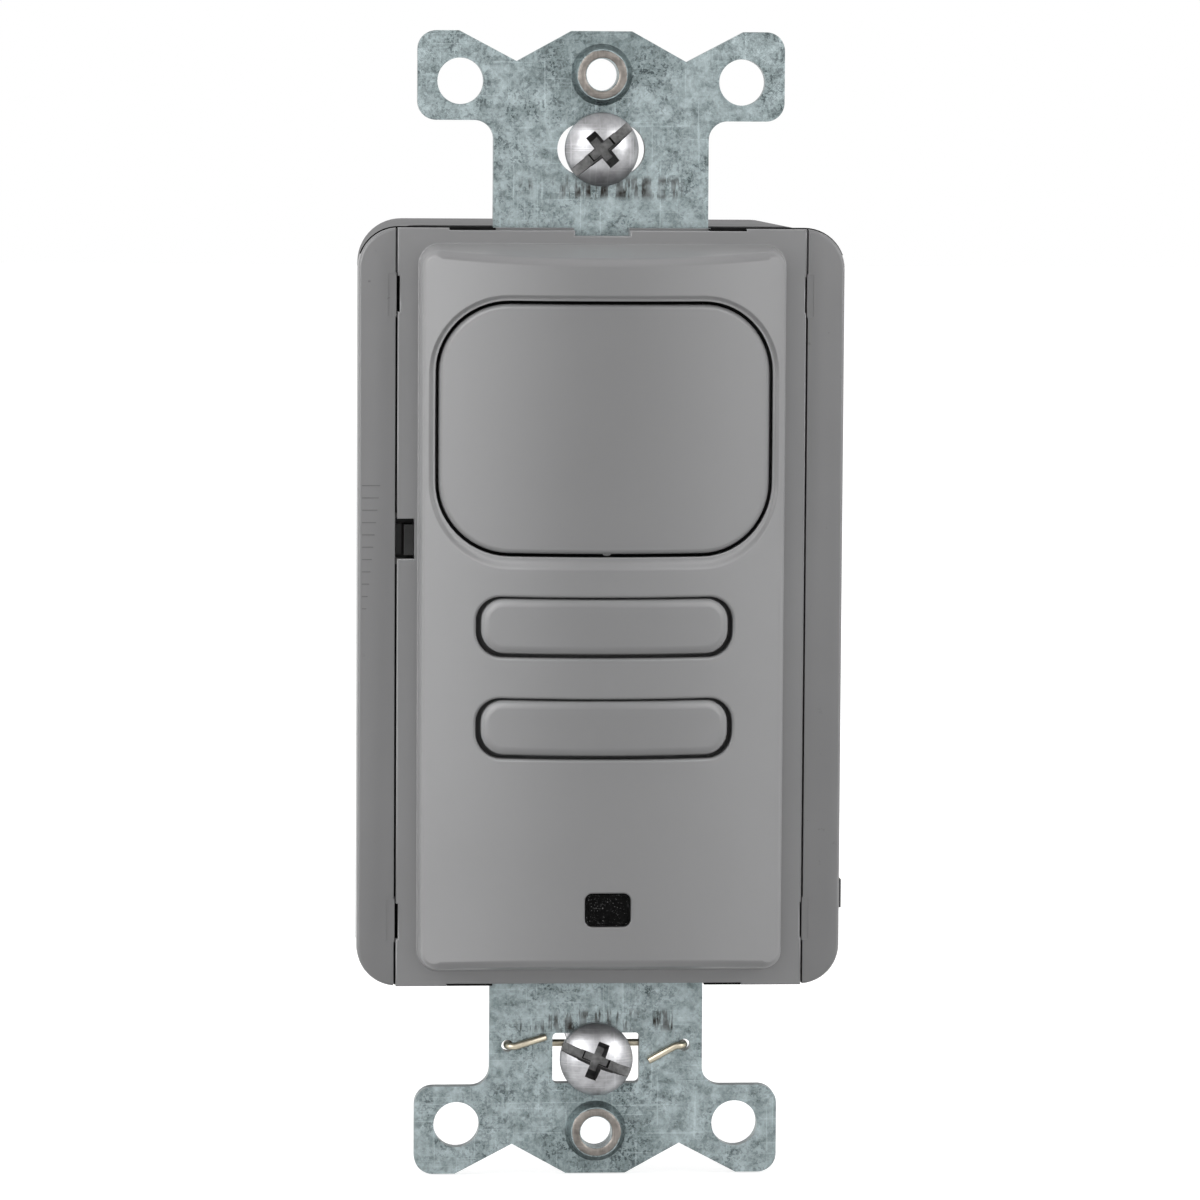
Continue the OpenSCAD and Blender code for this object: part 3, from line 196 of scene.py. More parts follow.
class Shell:
    """Collects the points and faces of one mesh, in millimetres."""

    def __init__(self) -> None:
        """Starts with no points and no faces."""
        self.points: list[Triple] = []
        self.normals: list[Triple] = []
        self.faces: list[tuple[int, ...]] = []

    def add(self, point: Triple, normal: Triple = NONE) -> int:
        """Adds a point.

        Args:
            point: Place in mm.
            normal: Its normal, or zero to leave it to Blender.

        Returns:
            The point's number.
        """
        self.points.append(point)
        self.normals.append(normal)
        return len(self.points) - 1

    def ring(self, points: list[Triple], normals: list[Triple] | None = None) -> list[int]:
        """Adds a row of points.

        Args:
            points: Places in mm.
            normals: One normal for each point, or None.

        Returns:
            Their numbers.
        """
        found = normals or [NONE] * len(points)
        return [self.add(p, n) for p, n in zip(points, found)]

    def level(self, loop: list[Pair], y: float) -> list[int]:
        """Adds a row of points at one depth.

        Args:
            loop: X and Z of each point in mm.
            y: Depth in mm.

        Returns:
            Their numbers.
        """
        return self.ring([(x, y, z) for x, z in loop])

    def bridge(self, outer: list[int], inner: list[int]) -> None:
        """Joins two loops of equal length with quads.

        Args:
            outer: Loop that lies outside or behind.
            inner: Loop that lies inside or in front.
        """
        count = len(outer)
        for i in range(count):
            j = (i + 1) % count
            self.faces.append((outer[i], outer[j], inner[j], inner[i]))

    def cap(self, loop: list[int], flip: bool = False) -> None:
        """Closes a loop with one face, turned over if flip is set."""
        self.faces.append(tuple(reversed(loop)) if flip else tuple(loop))

    def stack(self, rows: list[list[int]], capped: bool = False) -> None:
        """Joins each loop with the next.

        Args:
            rows: Loops, from outside or behind to inside or in front.
            capped: Whether the first and the last are closed.
        """
        for outer, inner in zip(rows, rows[1:]):
            self.bridge(outer, inner)
        if capped:
            self.cap(rows[0], flip=True)
            self.cap(rows[-1])

    def to_object(self, name: str, sharp: float = 40.0) -> Object:
        """Makes the Blender object.

        Args:
            name: Name of the piece.
            sharp: Angle in degrees from which an edge stays sharp.

        Returns:
            The new object.
        """
        mesh = bpy.data.meshes.new(name)
        mesh.from_pydata([tuple(c * MM for c in p) for p in self.points], [], self.faces)
        mesh.validate()
        mesh.update()
        shade(mesh, sharp)
        if any(any(n) for n in self.normals):
            mesh.normals_split_custom_set_from_vertices(self.normals)
        return add_object(name, mesh)


@dataclass
class Outline:
    """A rectangle with round corners in the front view, in millimetres."""

    width: float
    height: float
    radius: float
    x: float = 0.0
    z: float = 0.0
    step: float = 1.0
    arc: int = 10
    bow: float = 0.0

    def trace(self, inward: float = 0.0) -> list[Quad]:
        """Walks round the outline, anticlockwise as seen from the front.

        Args:
            inward: How far the line is drawn in.

        Returns:
            A list of x, z and the outward normal's x and z.
        """
        core_w = self.width / 2 - self.radius
        core_h = self.height / 2 - self.radius
        radius = self.radius - inward
        corners = [(core_w, core_h, 0), (-core_w, core_h, 90), (-core_w, -core_h, 180), (core_w, -core_h, 270)]
        found = []
        for number, (cx, cz, start) in enumerate(corners):
            for i in range(self.arc + 1):
                angle = math.radians(start + 90 * i / self.arc)
                found.append((cx + radius * math.cos(angle), cz + radius * math.sin(angle),
                              math.cos(angle), math.sin(angle)))
            nx, nz, then = corners[(number + 1) % 4]
            turn = math.radians(then)
            x, z, u, v = found[-1]
            to_x, to_z = nx + radius * math.cos(turn), nz + radius * math.sin(turn)
            steps = max(1, round(2 * (core_w if number % 2 == 0 else core_h) / self.step))
            for share in (i / steps for i in range(1, steps)):
                found.append((x + (to_x - x) * share, z + (to_z - z) * share, u, v))
        half_w, half_h = self.width / 2, self.height / 2
        return [(self.x + x + math.copysign(self.bow * max(0.0, 1 - (z / half_h) ** 2), x) * abs(x) / half_w,
                 self.z + z, u, v) for x, z, u, v in found]

    def loop(self, inward: float = 0.0) -> list[Pair]:
        """The outline's points alone, drawn in by inward."""
        return [(x, z) for x, z, _, _ in self.trace(inward)]


def inside(point: Pair, loop: list[Pair]) -> bool:
    """Tells whether a point lies in a closed loop.

    Args:
        point: X and Z in mm.
        loop: The loop's points.

    Returns:
        True inside.
    """
    x, z = point
    odd = False
    for i, (ax, az) in enumerate(loop):
        bx, bz = loop[i - 1]
        if (az > z) != (bz > z) and x < (bx - ax) * (z - az) / (bz - az) + ax:
            odd = not odd
    return odd


def free_points(flat: list[list[Pair]], spacing: float) -> Iterator[Pair]:
    """Walks over the even points that lie between a loop and its holes.

    Args:
        flat: Points of the loop, then of each hole.
        spacing: Distance between neighbours in mm.

    Yields:
        X and Z of a point that keeps clear of every loop.
    """
    boundary = np.array([p for loop in flat for p in loop])
    xs, zs = boundary[:, 0], boundary[:, 1]
    row, z = 0, zs.min() + spacing / 2
    while z < zs.max():
        x = xs.min() + spacing / 2 + (row % 2) * spacing / 2
        while x < xs.max():
            near = np.min((xs - x) ** 2 + (zs - z) ** 2)
            if near > (GAP_SHARE * spacing) ** 2 and inside((x, z), flat[0]) and not any(
                    inside((x, z), hole) for hole in flat[1:]):
                yield x, z
            x += spacing
        z += spacing * ROW_SHARE
        row += 1


def fill_between(shell: Shell, outer: list[int], holes: list[list[int]], spacing: float = 0.0,
                 depth: Field = crown_y, normal: Field | None = None, flip: bool = False) -> None:
    """Fills the face between a loop and its holes with even triangles.

    Args:
        shell: Mesh that holds the loops.
        outer: Numbers of the outer loop's points.
        holes: Numbers of each hole's points.
        spacing: Distance between free points in mm, or 0 for none.
        depth: Gives a free point's Y at its X.
        normal: Gives its normal at its X, or None to leave it to Blender.
        flip: Whether the face looks backwards.
    """
    loops = [outer] + holes
    flat = [[(shell.points[i][0], shell.points[i][2]) for i in loop] for loop in loops]
    numbers = [i for loop in loops for i in loop]
    points = [p for loop in flat for p in loop]
    edges, start = [], 0
    for loop in loops:
        count = len(loop)
        edges += [(start + i, start + (i + 1) % count) for i in range(count)]
        start += count
    for x, z in free_points(flat, spacing) if spacing else ():
        points.append((x, z))
        numbers.append(shell.add((x, depth(x), z), normal(x) if normal else NONE))
    out, _, faces, origin, _, _ = delaunay_2d_cdt([Vector(p) for p in points], edges, [], 0, 1e-6)
    for face in faces:
        middle = sum((out[i] for i in face), Vector((0, 0))) / 3
        spot = (middle.x, middle.y)
        if not inside(spot, flat[0]) or any(inside(spot, hole) for hole in flat[1:]):
            continue
        corners = tuple(numbers[origin[i][0]] for i in face)
        shell.faces.append(corners[::-1] if flip else corners)


def tube(shell: Shell, line: list[Triple], radius: float, sides: int = 24, rounding: float = 0.0) -> None:
    """Adds a round tube along a line.

    Args:
        shell: Mesh that receives it.
        line: Points of its middle in mm.
        radius: Radius in mm.
        sides: Number of sides.
        rounding: Radius of the rounded ends' edge.
    """
    path = [Vector(p) for p in line]
    lead = (path[1] - path[0]).normalized()
    across = lead.orthogonal().normalized()
    rows = []
    for i, spot in enumerate(path):
        ahead = (path[min(i + 1, len(path) - 1)] - path[max(i - 1, 0)]).normalized()
        across = (across - ahead * across.dot(ahead)).normalized()
        up = ahead.cross(across)
        scale = radius - rounding if i in (0, len(path) - 1) else radius
        rows.append(shell.ring([tuple(spot + scale * (math.cos(a) * across + math.sin(a) * up))
                                for a in angles(sides)]))
    shell.stack(rows, capped=True)


def lathe(shell: Shell, profile: list[Pair], sides: int = 64, place: Callable | None = None) -> None:
    """Turns a profile about the Y axis.

    Args:
        shell: Mesh that receives it.
        profile: Radius and Y in mm, from the front back. A radius of 0 closes the end.
        sides: Number of sides.
        place: Moves a finished point, or None.
    """
    move = place or (lambda p: p)
    rows = []
    for radius, y in profile:
        if radius <= 0:
            rows.append([shell.add(move((0.0, y, 0.0)))])
            continue
        rows.append(shell.ring([move((radius * math.cos(a), y, radius * math.sin(a))) for a in angles(sides)]))
    for front, back in zip(rows, rows[1:]):
        if len(front) == 1 and len(back) > 1:
            shell.faces += [(front[0], back[k], back[(k + 1) % sides]) for k in range(sides)]
        elif len(back) == 1 and len(front) > 1:
            shell.faces += [(back[0], front[(k + 1) % sides], front[k]) for k in range(sides)]
        elif len(front) > 1:
            shell.bridge(back, front)


def peg(shell: Shell, radius: float, ends: Pair, chamfer: float, sides: int, x: float, z: float) -> None:
    """Adds a round peg along Y whose rear edge is chamfered.

    Args:
        shell: Mesh that receives it.
        radius: Its radius in mm.
        ends: Y of its front and its rear end in mm.
        chamfer: Size of the chamfer in mm.
        sides: Number of sides.
        x: Sideways place of its axis in mm.
        z: Height of its axis in mm.
    """
    front, back = ends
    profile = [(0.0, front), (radius, front), (radius, back - chamfer), (radius - chamfer, back), (0.0, back)]
    lathe(shell, profile, sides, lambda p: (p[0] + x, p[1], p[2] + z))


def block(shell: Shell, low: Triple, high: Triple, edge: float = 0.1) -> None:
    """Adds a small block with rounded corners and softened edges.

    Args:
        shell: Mesh that receives it.
        low: Lowest corner in mm.
        high: Highest corner in mm.
        edge: Radius of its corners in mm.
    """
    (x0, front, z0), (x1, back, z1) = low, high
    outline = Outline(x1 - x0, z1 - z0, edge, (x0 + x1) / 2, (z0 + z1) / 2, step=50.0, arc=3)
    levels = ((0.8 * edge, back), (0.0, back - edge), (0.0, front + edge), (0.8 * edge, front))
    shell.stack([shell.level(outline.loop(inward), y) for inward, y in levels], capped=True)


def carve(obj: Object, cutters: list[Object]) -> None:
    """Cuts other solids out of an object and drops them.

    Args:
        obj: Object that keeps the result.
        cutters: Solids to take away.
    """
    for cutter in cutters:
        step = obj.modifiers.new("cut", "BOOLEAN")
        step.operation, step.solver, step.object = "DIFFERENCE", "EXACT", cutter
    bpy.context.view_layer.update()
    graph = bpy.context.evaluated_depsgraph_get()
    result = bpy.data.meshes.new_from_object(obj.evaluated_get(graph))
    obj.modifiers.clear()
    obj.data = result
    for cutter in cutters:
        bpy.data.objects.remove(cutter)


def soften(obj: Object, width: float, segments: int = 2, angle: float = 35.0) -> None:
    """Rounds an object's edges with a bevel.

    Args:
        obj: Object to round, which may be a CAD node.
        width: Width of the rounding in mm.
        segments: Steps across it.
        angle: Angle in degrees from which an edge is rounded.
    """
    bevel = obj.modifiers.new("edge", "BEVEL")
    bevel.width, bevel.segments = width * MM, segments
    bevel.limit_method, bevel.angle_limit = "ANGLE", math.radians(angle)
    bevel.harden_normals = bevel.use_clamp_overlap = True


# Shader node groups


class Effect(Enum):
    """Node groups that several finishes share."""

    GRAIN = "moulded_grain"
    WEAR = "edge_wear"
    SCUFF = "dark_scuffs"
    SCRATCH = "fine_scratches"
    BLOOM = "zinc_bloom"


@dataclass
class NodeSheet:
    """A node tree with short ways to add and join nodes."""

    tree: NodeTree

    def add(self, kind: str, **values: object) -> Node:
        """Adds a node.

        Args:
            kind: Blender's name of the node.
            **values: Properties to set, or inputs by name with spaces as underscores.

        Returns:
            The node.
        """
        node = self.tree.nodes.new(kind)
        for key, value in values.items():
            if hasattr(node, key):
                setattr(node, key, value)
            else:
                node.inputs[key.replace("_", " ")].default_value = value
        return node

    def join(self, source: NodeSocket, target: NodeSocket) -> None:
        """Links two sockets."""
        self.tree.links.new(source, target)

    def give(self, value: object, target: NodeSocket) -> None:
        """Fills an input.

        Args:
            value: A socket to link, or a number or colour to set.
            target: The input.
        """
        if isinstance(value, NodeSocket):
            self.join(value, target)
        else:
            target.default_value = value

    def coords(self) -> NodeSocket:
        """Adds the object coordinates."""
        return self.tree.nodes.new("ShaderNodeTexCoord").outputs["Object"]

    def math(self, operation: str, first: object, second: object = 0.0, clamp: bool = False) -> NodeSocket:
        """Adds a sum, product or other calculation.

        Args:
            operation: Blender's name of it.
            first: A socket or number.
            second: A socket or number.
            clamp: Whether the result stays between 0 and 1.

        Returns:
            The result's socket.
        """
        node = self.tree.nodes.new("ShaderNodeMath")
        node.operation = operation
        node.use_clamp = clamp
        for target, value in zip(node.inputs, (first, second)):
            self.give(value, target)
        return node.outputs[0]

    def times(self, first: object, second: object, clamp: bool = False) -> NodeSocket:
        """Multiplies two sockets or numbers, kept between 0 and 1 if clamp is set."""
        return self.math("MULTIPLY", first, second, clamp)

    def plus(self, first: object, second: object, clamp: bool = False) -> NodeSocket:
        """Adds two sockets or numbers, kept between 0 and 1 if clamp is set."""
        return self.math("ADD", first, second, clamp)

    def magnitude(self, value: NodeSocket) -> NodeSocket:
        """Gives a value without its sign."""
        return self.math("ABSOLUTE", value)

    def spread(self, value: NodeSocket, low: float, high: float) -> NodeSocket:
        """Stretches a value so that low becomes 0 and high becomes 1.

        Args:
            value: Socket to stretch.
            low: Value that becomes 0.
            high: Value that becomes 1.

        Returns:
            The result's socket.
        """
        node = self.tree.nodes.new("ShaderNodeMapRange")
        node.inputs["From Min"].default_value = low
        node.inputs["From Max"].default_value = high
        self.join(value, node.inputs["Value"])
        return node.outputs["Result"]

    def noise(self, where: NodeSocket, scale: object, detail: float = 3.0,
              roughness: float = 0.55) -> NodeSocket:
        """Adds a noise.

        Args:
            where: Coordinates.
            scale: A socket or number.
            detail: Octaves.
            roughness: Weight of the finer octaves.

        Returns:
            The noise's value.
        """
        node = self.add("ShaderNodeTexNoise", Detail=detail, Roughness=roughness)
        self.join(where, node.inputs["Vector"])
        self.give(scale, node.inputs["Scale"])
        return node.outputs["Fac"]

    def stretch(self, where: NodeSocket, scale: Triple, turn: float = 0.0) -> NodeSocket:
        """Stretches coordinates.

        Args:
            where: Coordinates.
            scale: Factor along each axis.
            turn: Turn about Y in radians.

        Returns:
            The new coordinates.
        """
        node = self.add("ShaderNodeMapping")
        node.inputs["Rotation"].default_value = (0.0, turn, 0.0)
        node.inputs["Scale"].default_value = scale
        self.join(where, node.inputs["Vector"])
        return node.outputs["Vector"]

    def split(self, where: NodeSocket) -> NodeOutputs:
        """Splits coordinates.

        Args:
            where: The coordinates.

        Returns:
            Outputs named X, Y and Z.
        """
        node = self.add("ShaderNodeSeparateXYZ")
        self.join(where, node.inputs[0])
        return node.outputs

    def blend(self, share: object, first: object, second: object) -> NodeSocket:
        """Mixes two colours.

        Args:
            share: Weight of the second, a socket or number.
            first: A socket or colour.
            second: A socket or colour.

        Returns:
            The mixed colour.
        """
        node = self.tree.nodes.new("ShaderNodeMix")
        node.data_type = "RGBA"
        for number, value in ((0, share), (6, first), (7, second)):
            self.give(value, node.inputs[number])
        return node.outputs[2]


class EffectShelf:
    """Builds each shared node group once."""

    def __init__(self) -> None:
        """Starts with no groups."""
        self.made: dict[Effect, NodeTree] = {}

    def get(self, effect: Effect) -> NodeTree:
        """Gives a group, and builds it the first time.

        Args:
            effect: Which group.

        Returns:
            The node group.
        """
        if effect not in self.made:
            builders = {Effect.GRAIN: self._grain, Effect.WEAR: self._wear, Effect.SCUFF: self._scuff,
                        Effect.SCRATCH: self._scratch, Effect.BLOOM: self._bloom}
            self.made[effect] = builders[effect](effect.value)
        return self.made[effect]

    def _start(self, name: str, inputs: dict[str, float], outputs: list[str]) -> tuple:
        """Makes an empty group.

        Args:
            name: Its name.
            inputs: Name and default of each input.
            outputs: Names of the outputs.

        Returns:
            The sheet, the values that come in, those that go out, and the object coordinates.
        """
        tree = bpy.data.node_groups.new(name, "ShaderNodeTree")
        for label, value in inputs.items():
            socket = tree.interface.new_socket(name=label, in_out="INPUT", socket_type="NodeSocketFloat")
            socket.default_value = value
        for label in outputs:
            tree.interface.new_socket(name=label, in_out="OUTPUT", socket_type="NodeSocketFloat")
        sheet = NodeSheet(tree)
        entry = tree.nodes.new("NodeGroupInput")
        leave = tree.nodes.new("NodeGroupOutput")
        return sheet, entry.outputs, leave.inputs, sheet.coords()

    def _grain(self, name: str) -> NodeTree:
        """Fine texture of a moulded surface and its faint clouds of tone.

        Args:
            name: Name of the group.

        Returns:
            The group.
        """
        sheet, entry, leave, where = self._start(name, {"Scale": 6000.0, "Clouds": 90.0}, ["Height", "Tone"])
        fine = sheet.noise(where, entry["Scale"], 2.0, 0.6)
        cloud = sheet.noise(where, entry["Clouds"], 4.0, 0.55)
        sheet.join(fine, leave["Height"])
        sheet.join(sheet.spread(cloud, 0.12, 0.88), leave["Tone"])
        return sheet.tree

    def _wear(self, name: str) -> NodeTree:
        """Mask of the raised edges, broken up by noise.

        Args:
            name: Name of the group.

        Returns:
            The group.
        """
        sheet, entry, leave, where = self._start(name, {"Low": 0.52, "High": 0.6, "Scale": 700.0}, ["Mask"])
        span = sheet.add("ShaderNodeMapRange")
        sheet.join(sheet.add("ShaderNodeNewGeometry").outputs["Pointiness"], span.inputs["Value"])
        sheet.join(entry["Low"], span.inputs["From Min"])
        sheet.join(entry["High"], span.inputs["From Max"])
        rough = sheet.spread(sheet.noise(where, entry["Scale"], 3.0), 0.35, 0.65)
        sheet.join(sheet.times(span.outputs["Result"], rough, clamp=True), leave["Mask"])
        return sheet.tree

    def _scuff(self, name: str) -> NodeTree:
        """Mask of sparse dark marks.

        Args:
            name: Name of the group.

        Returns:
            The group.
        """
        sheet, entry, leave, where = self._start(name, {"Scale": 260.0, "Amount": 0.68}, ["Mask"])
        spots = sheet.noise(where, entry["Scale"], 5.0, 0.65)
        field = sheet.spread(sheet.noise(where, 45.0, 2.0), 0.42, 0.62)
        marks = sheet.times(sheet.math("SUBTRACT", spots, entry["Amount"]), 14.0, clamp=True)
        sheet.join(sheet.times(marks, field, clamp=True), leave["Mask"])
        return sheet.tree

    def _scratch(self, name: str) -> NodeTree:
        """Mask of thin straight scratches in two directions.

        Args:
            name: Name of the group.

        Returns:
            The group.
        """
        sheet, entry, leave, where = self._start(name, {"Scale": 1.0, "Amount": 0.7}, ["Mask"])
        levels = []
        for turn, scale in ((0.5, (150.0, 150.0, 5200.0)), (-0.9, (4200.0, 150.0, 120.0))):
            line = sheet.noise(sheet.stretch(where, scale, turn), entry["Scale"], 1.0, 0.4)
            levels.append(sheet.times(sheet.math("SUBTRACT", line, entry["Amount"]), 16.0, clamp=True))
        sheet.join(sheet.math("MAXIMUM", *levels), leave["Mask"])
        return sheet.tree

    def _bloom(self, name: str) -> NodeTree:
        """Zinc plating: soft blotches, dark specks and pale crystals.

        Args:
            name: Name of the group.

        Returns:
            The group.
        """
        sheet, entry, leave, where = self._start(
            name, {"Blotch Scale": 420.0, "Speck Scale": 4200.0}, ["Blotch", "Speck", "Crystal"])
        broad = sheet.spread(sheet.noise(where, entry["Blotch Scale"], 4.0, 0.6), 0.3, 0.7)
        fine = sheet.spread(sheet.noise(where, entry["Speck Scale"], 3.0, 0.75), 0.34, 0.66)
        sheet.join(sheet.plus(sheet.times(broad, 0.14), sheet.times(fine, 0.86), clamp=True), leave["Blotch"])
        speck = sheet.spread(sheet.noise(where, 3600.0, 2.0, 0.7), 0.53, 0.58)
        field = sheet.spread(sheet.noise(where, 260.0, 4.0, 0.65), 0.36, 0.58)
        sheet.join(sheet.times(speck, field, clamp=True), leave["Speck"])
        cells = sheet.add("ShaderNodeTexVoronoi", Scale=1900.0)
        sheet.join(where, cells.inputs["Vector"])
        tone = sheet.add("ShaderNodeSeparateColor")
        sheet.join(cells.outputs["Color"], tone.inputs["Color"])
        sheet.join(tone.outputs["Red"], leave["Crystal"])
        return sheet.tree


SHELF = EffectShelf()


def rgba(color: Triple, scale: float = 1.0) -> Quad:
    """A linear colour with its alpha.

    Args:
        color: Red, green and blue as an sRGB value from 0 to 1.
        scale: Factor on the linear value.

    Returns:
        Four linear numbers.
    """
    linear = [c / 12.92 if c <= 0.04045 else ((c + 0.055) / 1.055) ** 2.4 for c in color]
    return (*(c * scale for c in linear), 1.0)


def tinted(color: Triple, factor: float, lift: float = 0.0) -> Triple:
    """Multiplies an sRGB colour by a factor and adds a lift, up to white."""
    return tuple(min(1.0, c * factor + lift) for c in color)


def new_material(name: str) -> tuple[Material, NodeSheet]:
    """Makes a material with nodes.

    Args:
        name: Name of the material.

    Returns:
        The material and its node sheet.
    """
    material = bpy.data.materials.new(name)
    material.use_nodes = True
    return material, NodeSheet(material.node_tree)


@dataclass(frozen=True)
class Finish:
    """What every finish has: a name, a colour and a gloss."""

    name: str
    color: Triple
    roughness: float = 0.4
    gloss: float = 0.5

    def _open(self) -> tuple[Material, NodeSheet, Node]:
        """Makes an empty material.

        Returns:
            The material, its node sheet and its surface shader.
        """
        material, sheet = new_material(self.name)
        shader = sheet.tree.nodes["Principled BSDF"]
        shader.inputs["Specular IOR Level"].default_value = self.gloss
        return material, sheet, shader

    def _look(self, sheet: NodeSheet, shader: Node, color: NodeSocket,
              tone: NodeSocket, swing: float, floor: float) -> None:
        """Joins the colour, and a roughness that rises with the tone.

        Args:
            sheet: The material's nodes.
            shader: The surface shader.
            color: The colour.
            tone: Tone from 0 to 1.
            swing: How much rougher the surface is at a tone of 1.
            floor: Roughness at a tone of 0.
        """
        sheet.join(color, shader.inputs["Base Color"])
        sheet.join(sheet.plus(sheet.times(tone, swing), floor), shader.inputs["Roughness"])

    def _effect(self, sheet: NodeSheet, effect: Effect, **values: float) -> NodeOutputs:
        """Places a shared effect.

        Args:
            sheet: The material's nodes.
            effect: Which effect.
            **values: Its inputs, with spaces as underscores.

        Returns:
            What the group's node puts out.
        """
        node = sheet.tree.nodes.new("ShaderNodeGroup")
        node.node_tree = SHELF.get(effect)
        for key, value in values.items():
            node.inputs[key.replace("_", " ")].default_value = value
        return node.outputs

    def _bump(self, sheet: NodeSheet, shader: Node, height: NodeSocket, distance: float,
              strength: float) -> None:
        """Adds relief to the surface.

        Args:
            sheet: The material's nodes.
            shader: The surface shader.
            height: Relief from 0 to 1.
            distance: Its depth in mm.
            strength: Its weight.
        """
        bump = sheet.tree.nodes.new("ShaderNodeBump")
        bump.inputs["Strength"].default_value = strength
        bump.inputs["Distance"].default_value = distance * MM
        sheet.join(height, bump.inputs["Height"])
        sheet.join(bump.outputs["Normal"], shader.inputs["Normal"])


@dataclass(frozen=True)
class Plastic(Finish):
    """Moulded plastic with a fine grain, soft clouds, worn edges and scuffs."""

    grain_scale: float = 6500.0
    grain_depth: float = 0.006
    cloud: float = 0.05
    wear: float = 0.12
    scuff: float = 0.0
    worn_lift: float = 0.22
    scuff_shade: float = 0.35

    def make(self) -> Material:
        """Builds the finish.

        Returns:
            The material.
        """
        material, sheet, shader = self._open()
        grain = self._effect(sheet, Effect.GRAIN, Scale=self.grain_scale, Clouds=85.0)
        wear = self._effect(sheet, Effect.WEAR, Low=0.53, High=0.62)
        tone = sheet.blend(grain["Tone"], rgba(self.color, 1.0 - self.cloud), rgba(self.color, 1.0 + self.cloud))
        worn = sheet.blend(sheet.times(wear["Mask"], self.wear), tone, rgba(tinted(self.color, 1.0, self.worn_lift)))
        if self.scuff:
            marks = self._effect(sheet, Effect.SCUFF, Scale=900.0, Amount=0.66)
            worn = sheet.blend(sheet.times(marks["Mask"], self.scuff), worn, rgba(tinted(self.color, self.scuff_shade)))
        self._look(sheet, shader, worn, grain["Tone"], 0.1, self.roughness - 0.05)
        self._bump(sheet, shader, grain["Height"], self.grain_depth, 0.5)
        return material


@dataclass(frozen=True)
class ZincSteel(Finish):
    """Zinc-plated sheet steel with blotches, specks, scratches and rub marks on both necks."""

    dark: Triple = (0.2, 0.23, 0.24)
    pale: Triple = (0.74, 0.79, 0.8)
    rub: Triple = (0.14, 0.13, 0.12)
    rub_z: Pair = (37.0, 39.4)
    rub_x: float = 7.6

    def _rubbed(self, sheet: NodeSheet) -> NodeSocket:
        """Gives the mask of the upright rub marks.

        Args:
            sheet: The material's nodes.

        Returns:
            The mask's socket.
        """
        where = sheet.coords()
        axes = sheet.split(where)
        low, high = self.rub_z
        middle, half = (low + high) / 2 * MM, (high - low) / 2 * MM
        off = sheet.magnitude(sheet.math("SUBTRACT", sheet.magnitude(axes["Z"]), middle))
        upright = sheet.spread(off, half, 0.6 * half)
        sideways = sheet.spread(sheet.magnitude(axes["X"]), self.rub_x * MM, 0.93 * self.rub_x * MM)
        streak = sheet.spread(sheet.noise(sheet.stretch(where, (2600.0, 300.0, 330.0)), 1.0, 3.0, 0.6), 0.47, 0.53)
        clump = sheet.spread(sheet.noise(where, 420.0, 2.0), 0.36, 0.48)
        area = sheet.times(upright, sideways, clamp=True)
        return sheet.times(area, sheet.times(streak, clump, clamp=True), clamp=True)

    def make(self) -> Material:
        """Builds the finish.

        Returns:
            The material.
        """
        material, sheet, shader = self._open()
        bloom = self._effect(sheet, Effect.BLOOM)
        scratch = self._effect(sheet, Effect.SCRATCH, Scale=1.0, Amount=0.66)
        wear = self._effect(sheet, Effect.WEAR, Low=0.52, High=0.58)
        color = sheet.blend(bloom["Blotch"], rgba(self.color, 0.6), rgba(self.color, 1.42))
        for mask, share, tint in ((bloom["Crystal"], 0.16, self.pale), (bloom["Speck"], 0.85, self.dark),
                                  (scratch["Mask"], 0.15, self.pale), (self._rubbed(sheet), 1.0, self.rub),
                                  (wear["Mask"], 0.3, self.pale)):
            color = sheet.blend(sheet.times(mask, share), color, rgba(tint))
        shader.inputs["Metallic"].default_value = 0.8
        self._look(sheet, shader, color, bloom["Blotch"], 0.2, self.roughness)
        relief = sheet.math("SUBTRACT", bloom["Blotch"], sheet.times(scratch["Mask"], 0.6))
        self._bump(sheet, shader, relief, 0.02, 0.35)
        return material


@dataclass(frozen=True)
class PlainMetal(Finish):
    """Drawn or turned metal with fine scratches and dull patches."""

    dull: Triple = (0.3, 0.29, 0.28)
    dull_share: float = 0.35
    patch_scale: float = 500.0

    def make(self) -> Material:
        """Builds the finish.

        Returns:
            The material.
        """
        material, sheet, shader = self._open()
        grain = self._effect(sheet, Effect.GRAIN, Scale=3500.0, Clouds=self.patch_scale)
        scratch = self._effect(sheet, Effect.SCRATCH, Scale=1.4, Amount=0.6)
        base = sheet.blend(sheet.times(grain["Tone"], self.dull_share), rgba(self.color), rgba(self.dull))
        lined = sheet.blend(sheet.times(scratch["Mask"], 0.12), base, rgba(tinted(self.color, 1.15)))
        shader.inputs["Metallic"].default_value = 1.0
        self._look(sheet, shader, lined, grain["Tone"], 0.18, self.roughness)
        self._bump(sheet, shader, sheet.plus(grain["Height"], scratch["Mask"]), 0.006, 0.3)
        return material


@dataclass(frozen=True)
class SparkleWindow(Finish):
    """Black window plastic with a rough face, whose sparkle is painted into its colour as pale glints."""

    glint: Triple = (0.75, 0.75, 0.75)

    def make(self) -> Material:
        """Builds the finish.

        Returns:
            The material.
        """
        material, sheet, shader = self._open()
        where = sheet.coords()
        flecks = sheet.noise(where, 6500.0, 2.0, 0.7)
        clumps = sheet.spread(sheet.noise(where, 2200.0, 2.0), 0.35, 0.6)
        # Pale flecks painted into the colour as glints.
        glint_share = sheet.times(sheet.spread(flecks, 0.63, 0.7), clumps, clamp=True)
        sheet.join(sheet.blend(sheet.times(glint_share, 0.4), rgba(self.color), rgba(self.glint)),
                   shader.inputs["Base Color"])
        sheet.join(sheet.spread(flecks, 0.9, 0.3), shader.inputs["Roughness"])
        self._bump(sheet, shader, flecks, 0.05, 0.8)
        return material


